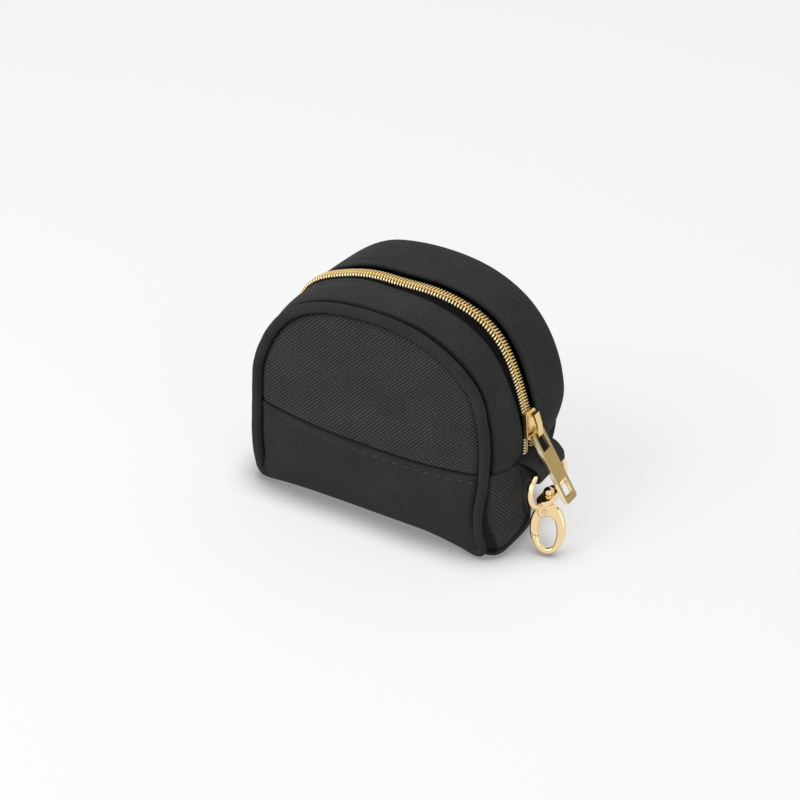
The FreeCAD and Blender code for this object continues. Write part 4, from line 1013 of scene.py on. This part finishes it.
def metalFinish(name):
    # Polished metal: softened edges, faint waviness in the shine and a roughness that varies a little.
    tone, roughness, edge = metal[name]
    made = Finish(name)
    place = made.objectPlace()
    normal = place.noise(metal["waves"]).bump(0.02 * mm, 0.6, under=softEdges(made, edge))
    smudge = place.speckle(metal["smudges"], 4.0, roughness * 0.8, roughness * 1.35, (0.3, 0.75))
    return made.set(Base_Color=tone, Roughness=smudge, Normal=normal, Metallic=1.0)


def coilFinish(name, side):
    # Metallised wire with painted light: painted shade down between the turns, and a pale painted highlight
    # along the row's outer edge.
    made = Finish(name)
    place = made.objectPlace()
    across = (place.split(1) - zipPlace["y"] * mm) * side
    edgeFrom, edgeFull = metal["coilEdgeFrom"]
    tone = across.ramp(edgeFrom * mm, edgeFull * mm).blend(metal["coilRung"], metal["coilEdgeHighlight"])
    depth = made.paintedShade().ramp(*metal["coilDepth"])
    colour = depth.blend(metal["coilPitShade"], tone)
    return made.set(Base_Color=colour, Roughness=0.32, Metallic=0.7)


def pullFinish():
    # Polished pull with painted light: painted shade on its broad faces and a pale painted highlight on its
    # narrow sides, by the object's own normal.
    made = Finish("pullMetal")
    low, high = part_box("pull_tab")
    lean = math.atan2(high.z - low.z, high.x - low.x)
    facing = made.source("ShaderNodeTexCoord", 1)
    inputs = {0: facing, 1: (math.sin(lean), 0, math.cos(lean))}
    facing = facing.node("ShaderNodeVectorMath", inputs, 1, operation="DOT_PRODUCT")
    tone = facing.math("ABSOLUTE").ramp(0.75, 0.97).blend(metal["pullSideHighlight"], metal["pullFaceShade"])
    wave = made.objectPlace().noise(metal["waves"])
    normal = wave.bump(0.02 * mm, 0.5, under=softEdges(made, metal["pullEdge"]))
    return made.set(Base_Color=tone, Roughness=metal["pullRough"], Normal=normal, Metallic=1.0)


dress(coilFinish("frontCoil", -1), frontCoil)
dress(coilFinish("backCoil", 1), backCoil)
for finish, nodes in ((metalFinish("claspMetal"), ("swivel_eye", "swivel_rivet", "hook_body", "hook_lever")),
                      (metalFinish("sliderMetal"), ("slider_body",)),
                      (pullFinish(), ("pull_tab",)),
                      (metalFinish("pinMetal"), ("lever_pin",)),
                      (metalFinish("springMetal"), ("lever_spring",))):
    for node in nodes:
        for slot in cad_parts[node].material_slots:
            slot.material = finish
print("materials ready")


# Floor, light and camera.
studio = {
    "floor": 0.90, "world": 0.40,
    "backdrop": 0.92,                     # the room as the lens sees it
    "glow": 0.64, "shadow": 0.36,         # the floor as the lens sees it: its own pale tone and its lit share
    # A painted contact shadow: the floor's dark line under the purse.
    "contact": 0.013, "contactShadow": 0.27, "contactFade": (0.4, 0.95),     # its dark line under the purse
    # Each lamp's place, what it looks at, its size and its power.
    "key": ((-0.35, -0.55, 0.75), (0, 0, 0.04), (0.6, 0.6), 4.3),
    "fill": ((0.75, -0.35, 0.45), (0, 0, 0.03), (0.5, 0.6), 1.0),
    "top": ((0.0, 0.25, 0.9), (0, 0, 0.04), (0.9, 0.6), 1.4),
    "lens": 124.9, "place": (0.41956, -0.72328, 0.57162), "target": (-0.00219, -0.00130, 0.03776),
    "roll": 1.124,
}


def seenByLens(tree):
    # 1 for rays from the lens and for mirrored or bent ones, and 0 for light that bounces.
    rays = [Socket(tree, tree.nodes.new("ShaderNodeLightPath").outputs[kind])
            for kind in ("Is Camera Ray", "Is Glossy Ray", "Is Transmission Ray")]
    return rays[0].math("MAXIMUM", rays[1]).math("MAXIMUM", rays[2])


def joinShaders(tree, factor, first, second):
    join = tree.nodes.new("ShaderNodeMixShader")
    tree.links.new(factor.output, join.inputs[0])
    tree.links.new(first.outputs[0], join.inputs[1])
    tree.links.new(second.outputs[0], join.inputs[2])
    return join


def setFloor():
    # Light bounces off a plain floor. The lens, and what mirrors, sees a pale glow with a share of the lit
    # floor and its shadows, and a painted contact shadow: a dark line close to the purse, where little room
    # is open above the floor.
    made = Finish("floor")
    bpy.ops.mesh.primitive_plane_add(size=6.0, location=(0, 0, -0.0002))
    floor = bpy.context.object
    floor.name = "floor"
    made.set(Base_Color=grey(studio["floor"]), Roughness=0.9, Specular_IOR_Level=0.1)
    tree = made.tree
    glow, paintedShadow = (tree.nodes.new("ShaderNodeEmission") for _ in range(2))
    lit, both = tree.nodes.new("ShaderNodeBsdfDiffuse"), tree.nodes.new("ShaderNodeAddShader")
    glow.inputs[0].default_value = grey(studio["glow"])
    lit.inputs[0].default_value = grey(studio["shadow"])
    tree.links.new(glow.outputs[0], both.inputs[0])
    tree.links.new(lit.outputs[0], both.inputs[1])
    nearby = made.source("ShaderNodeAmbientOcclusion", 1, samples=8)
    nearby.output.node.inputs["Distance"].default_value = studio["contact"]
    paintedShadow.inputs[0].default_value = grey(studio["contactShadow"])
    shaded = joinShaders(tree, nearby.ramp(*studio["contactFade"], smooth=False), paintedShadow, both)
    join = joinShaders(tree, seenByLens(tree), made.shader, shaded)
    tree.links.new(join.outputs[0], made.output.inputs[0])
    dress(made.material, floor)


def areaLight(name):
    place, target, size, power = studio[name]
    lamp = bpy.data.lights.new(name, "AREA")
    lamp.shape = "RECTANGLE"
    lamp.size, lamp.size_y = size
    lamp.energy = power
    made = bpy.data.objects.new(name, lamp)
    made.location = place
    made.rotation_euler = (Vector(target) - Vector(place)).to_track_quat("-Z", "Y").to_euler()
    bpy.context.collection.objects.link(made)


def setWorld():
    # An even room for light. The lens and the metal see the same pale backdrop.
    world = bpy.data.worlds.new("studio")
    bpy.context.scene.world = world
    world.use_nodes = True
    tree = world.node_tree
    tree.nodes.clear()
    room, pale = (tree.nodes.new("ShaderNodeBackground") for _ in range(2))
    for back, strength in ((room, studio["world"]), (pale, studio["backdrop"])):
        back.inputs[0].default_value = (1, 1, 1, 1)
        back.inputs[1].default_value = strength
    output = tree.nodes.new("ShaderNodeOutputWorld")
    tree.links.new(joinShaders(tree, seenByLens(tree), room, pale).outputs[0], output.inputs[0])


def setCamera():
    lens = bpy.data.cameras.new("camera")
    lens.lens, lens.sensor_width = studio["lens"], 36.0
    lens.clip_start, lens.clip_end = 0.05, 20.0
    made = bpy.data.objects.new("camera", lens)
    made.location = studio["place"]
    direction = Vector(studio["target"]) - Vector(studio["place"])
    level = direction.to_track_quat("-Z", "Y")
    made.rotation_euler = (level @ Quaternion((0, 0, 1), math.radians(studio["roll"]))).to_euler()
    bpy.context.collection.objects.link(made)
    bpy.context.scene.camera = made


setFloor()
setWorld()
setCamera()
for name in ("key", "fill", "top"):
    areaLight(name)
bpy.context.scene.view_settings.view_transform = "Standard"
print("studio ready")
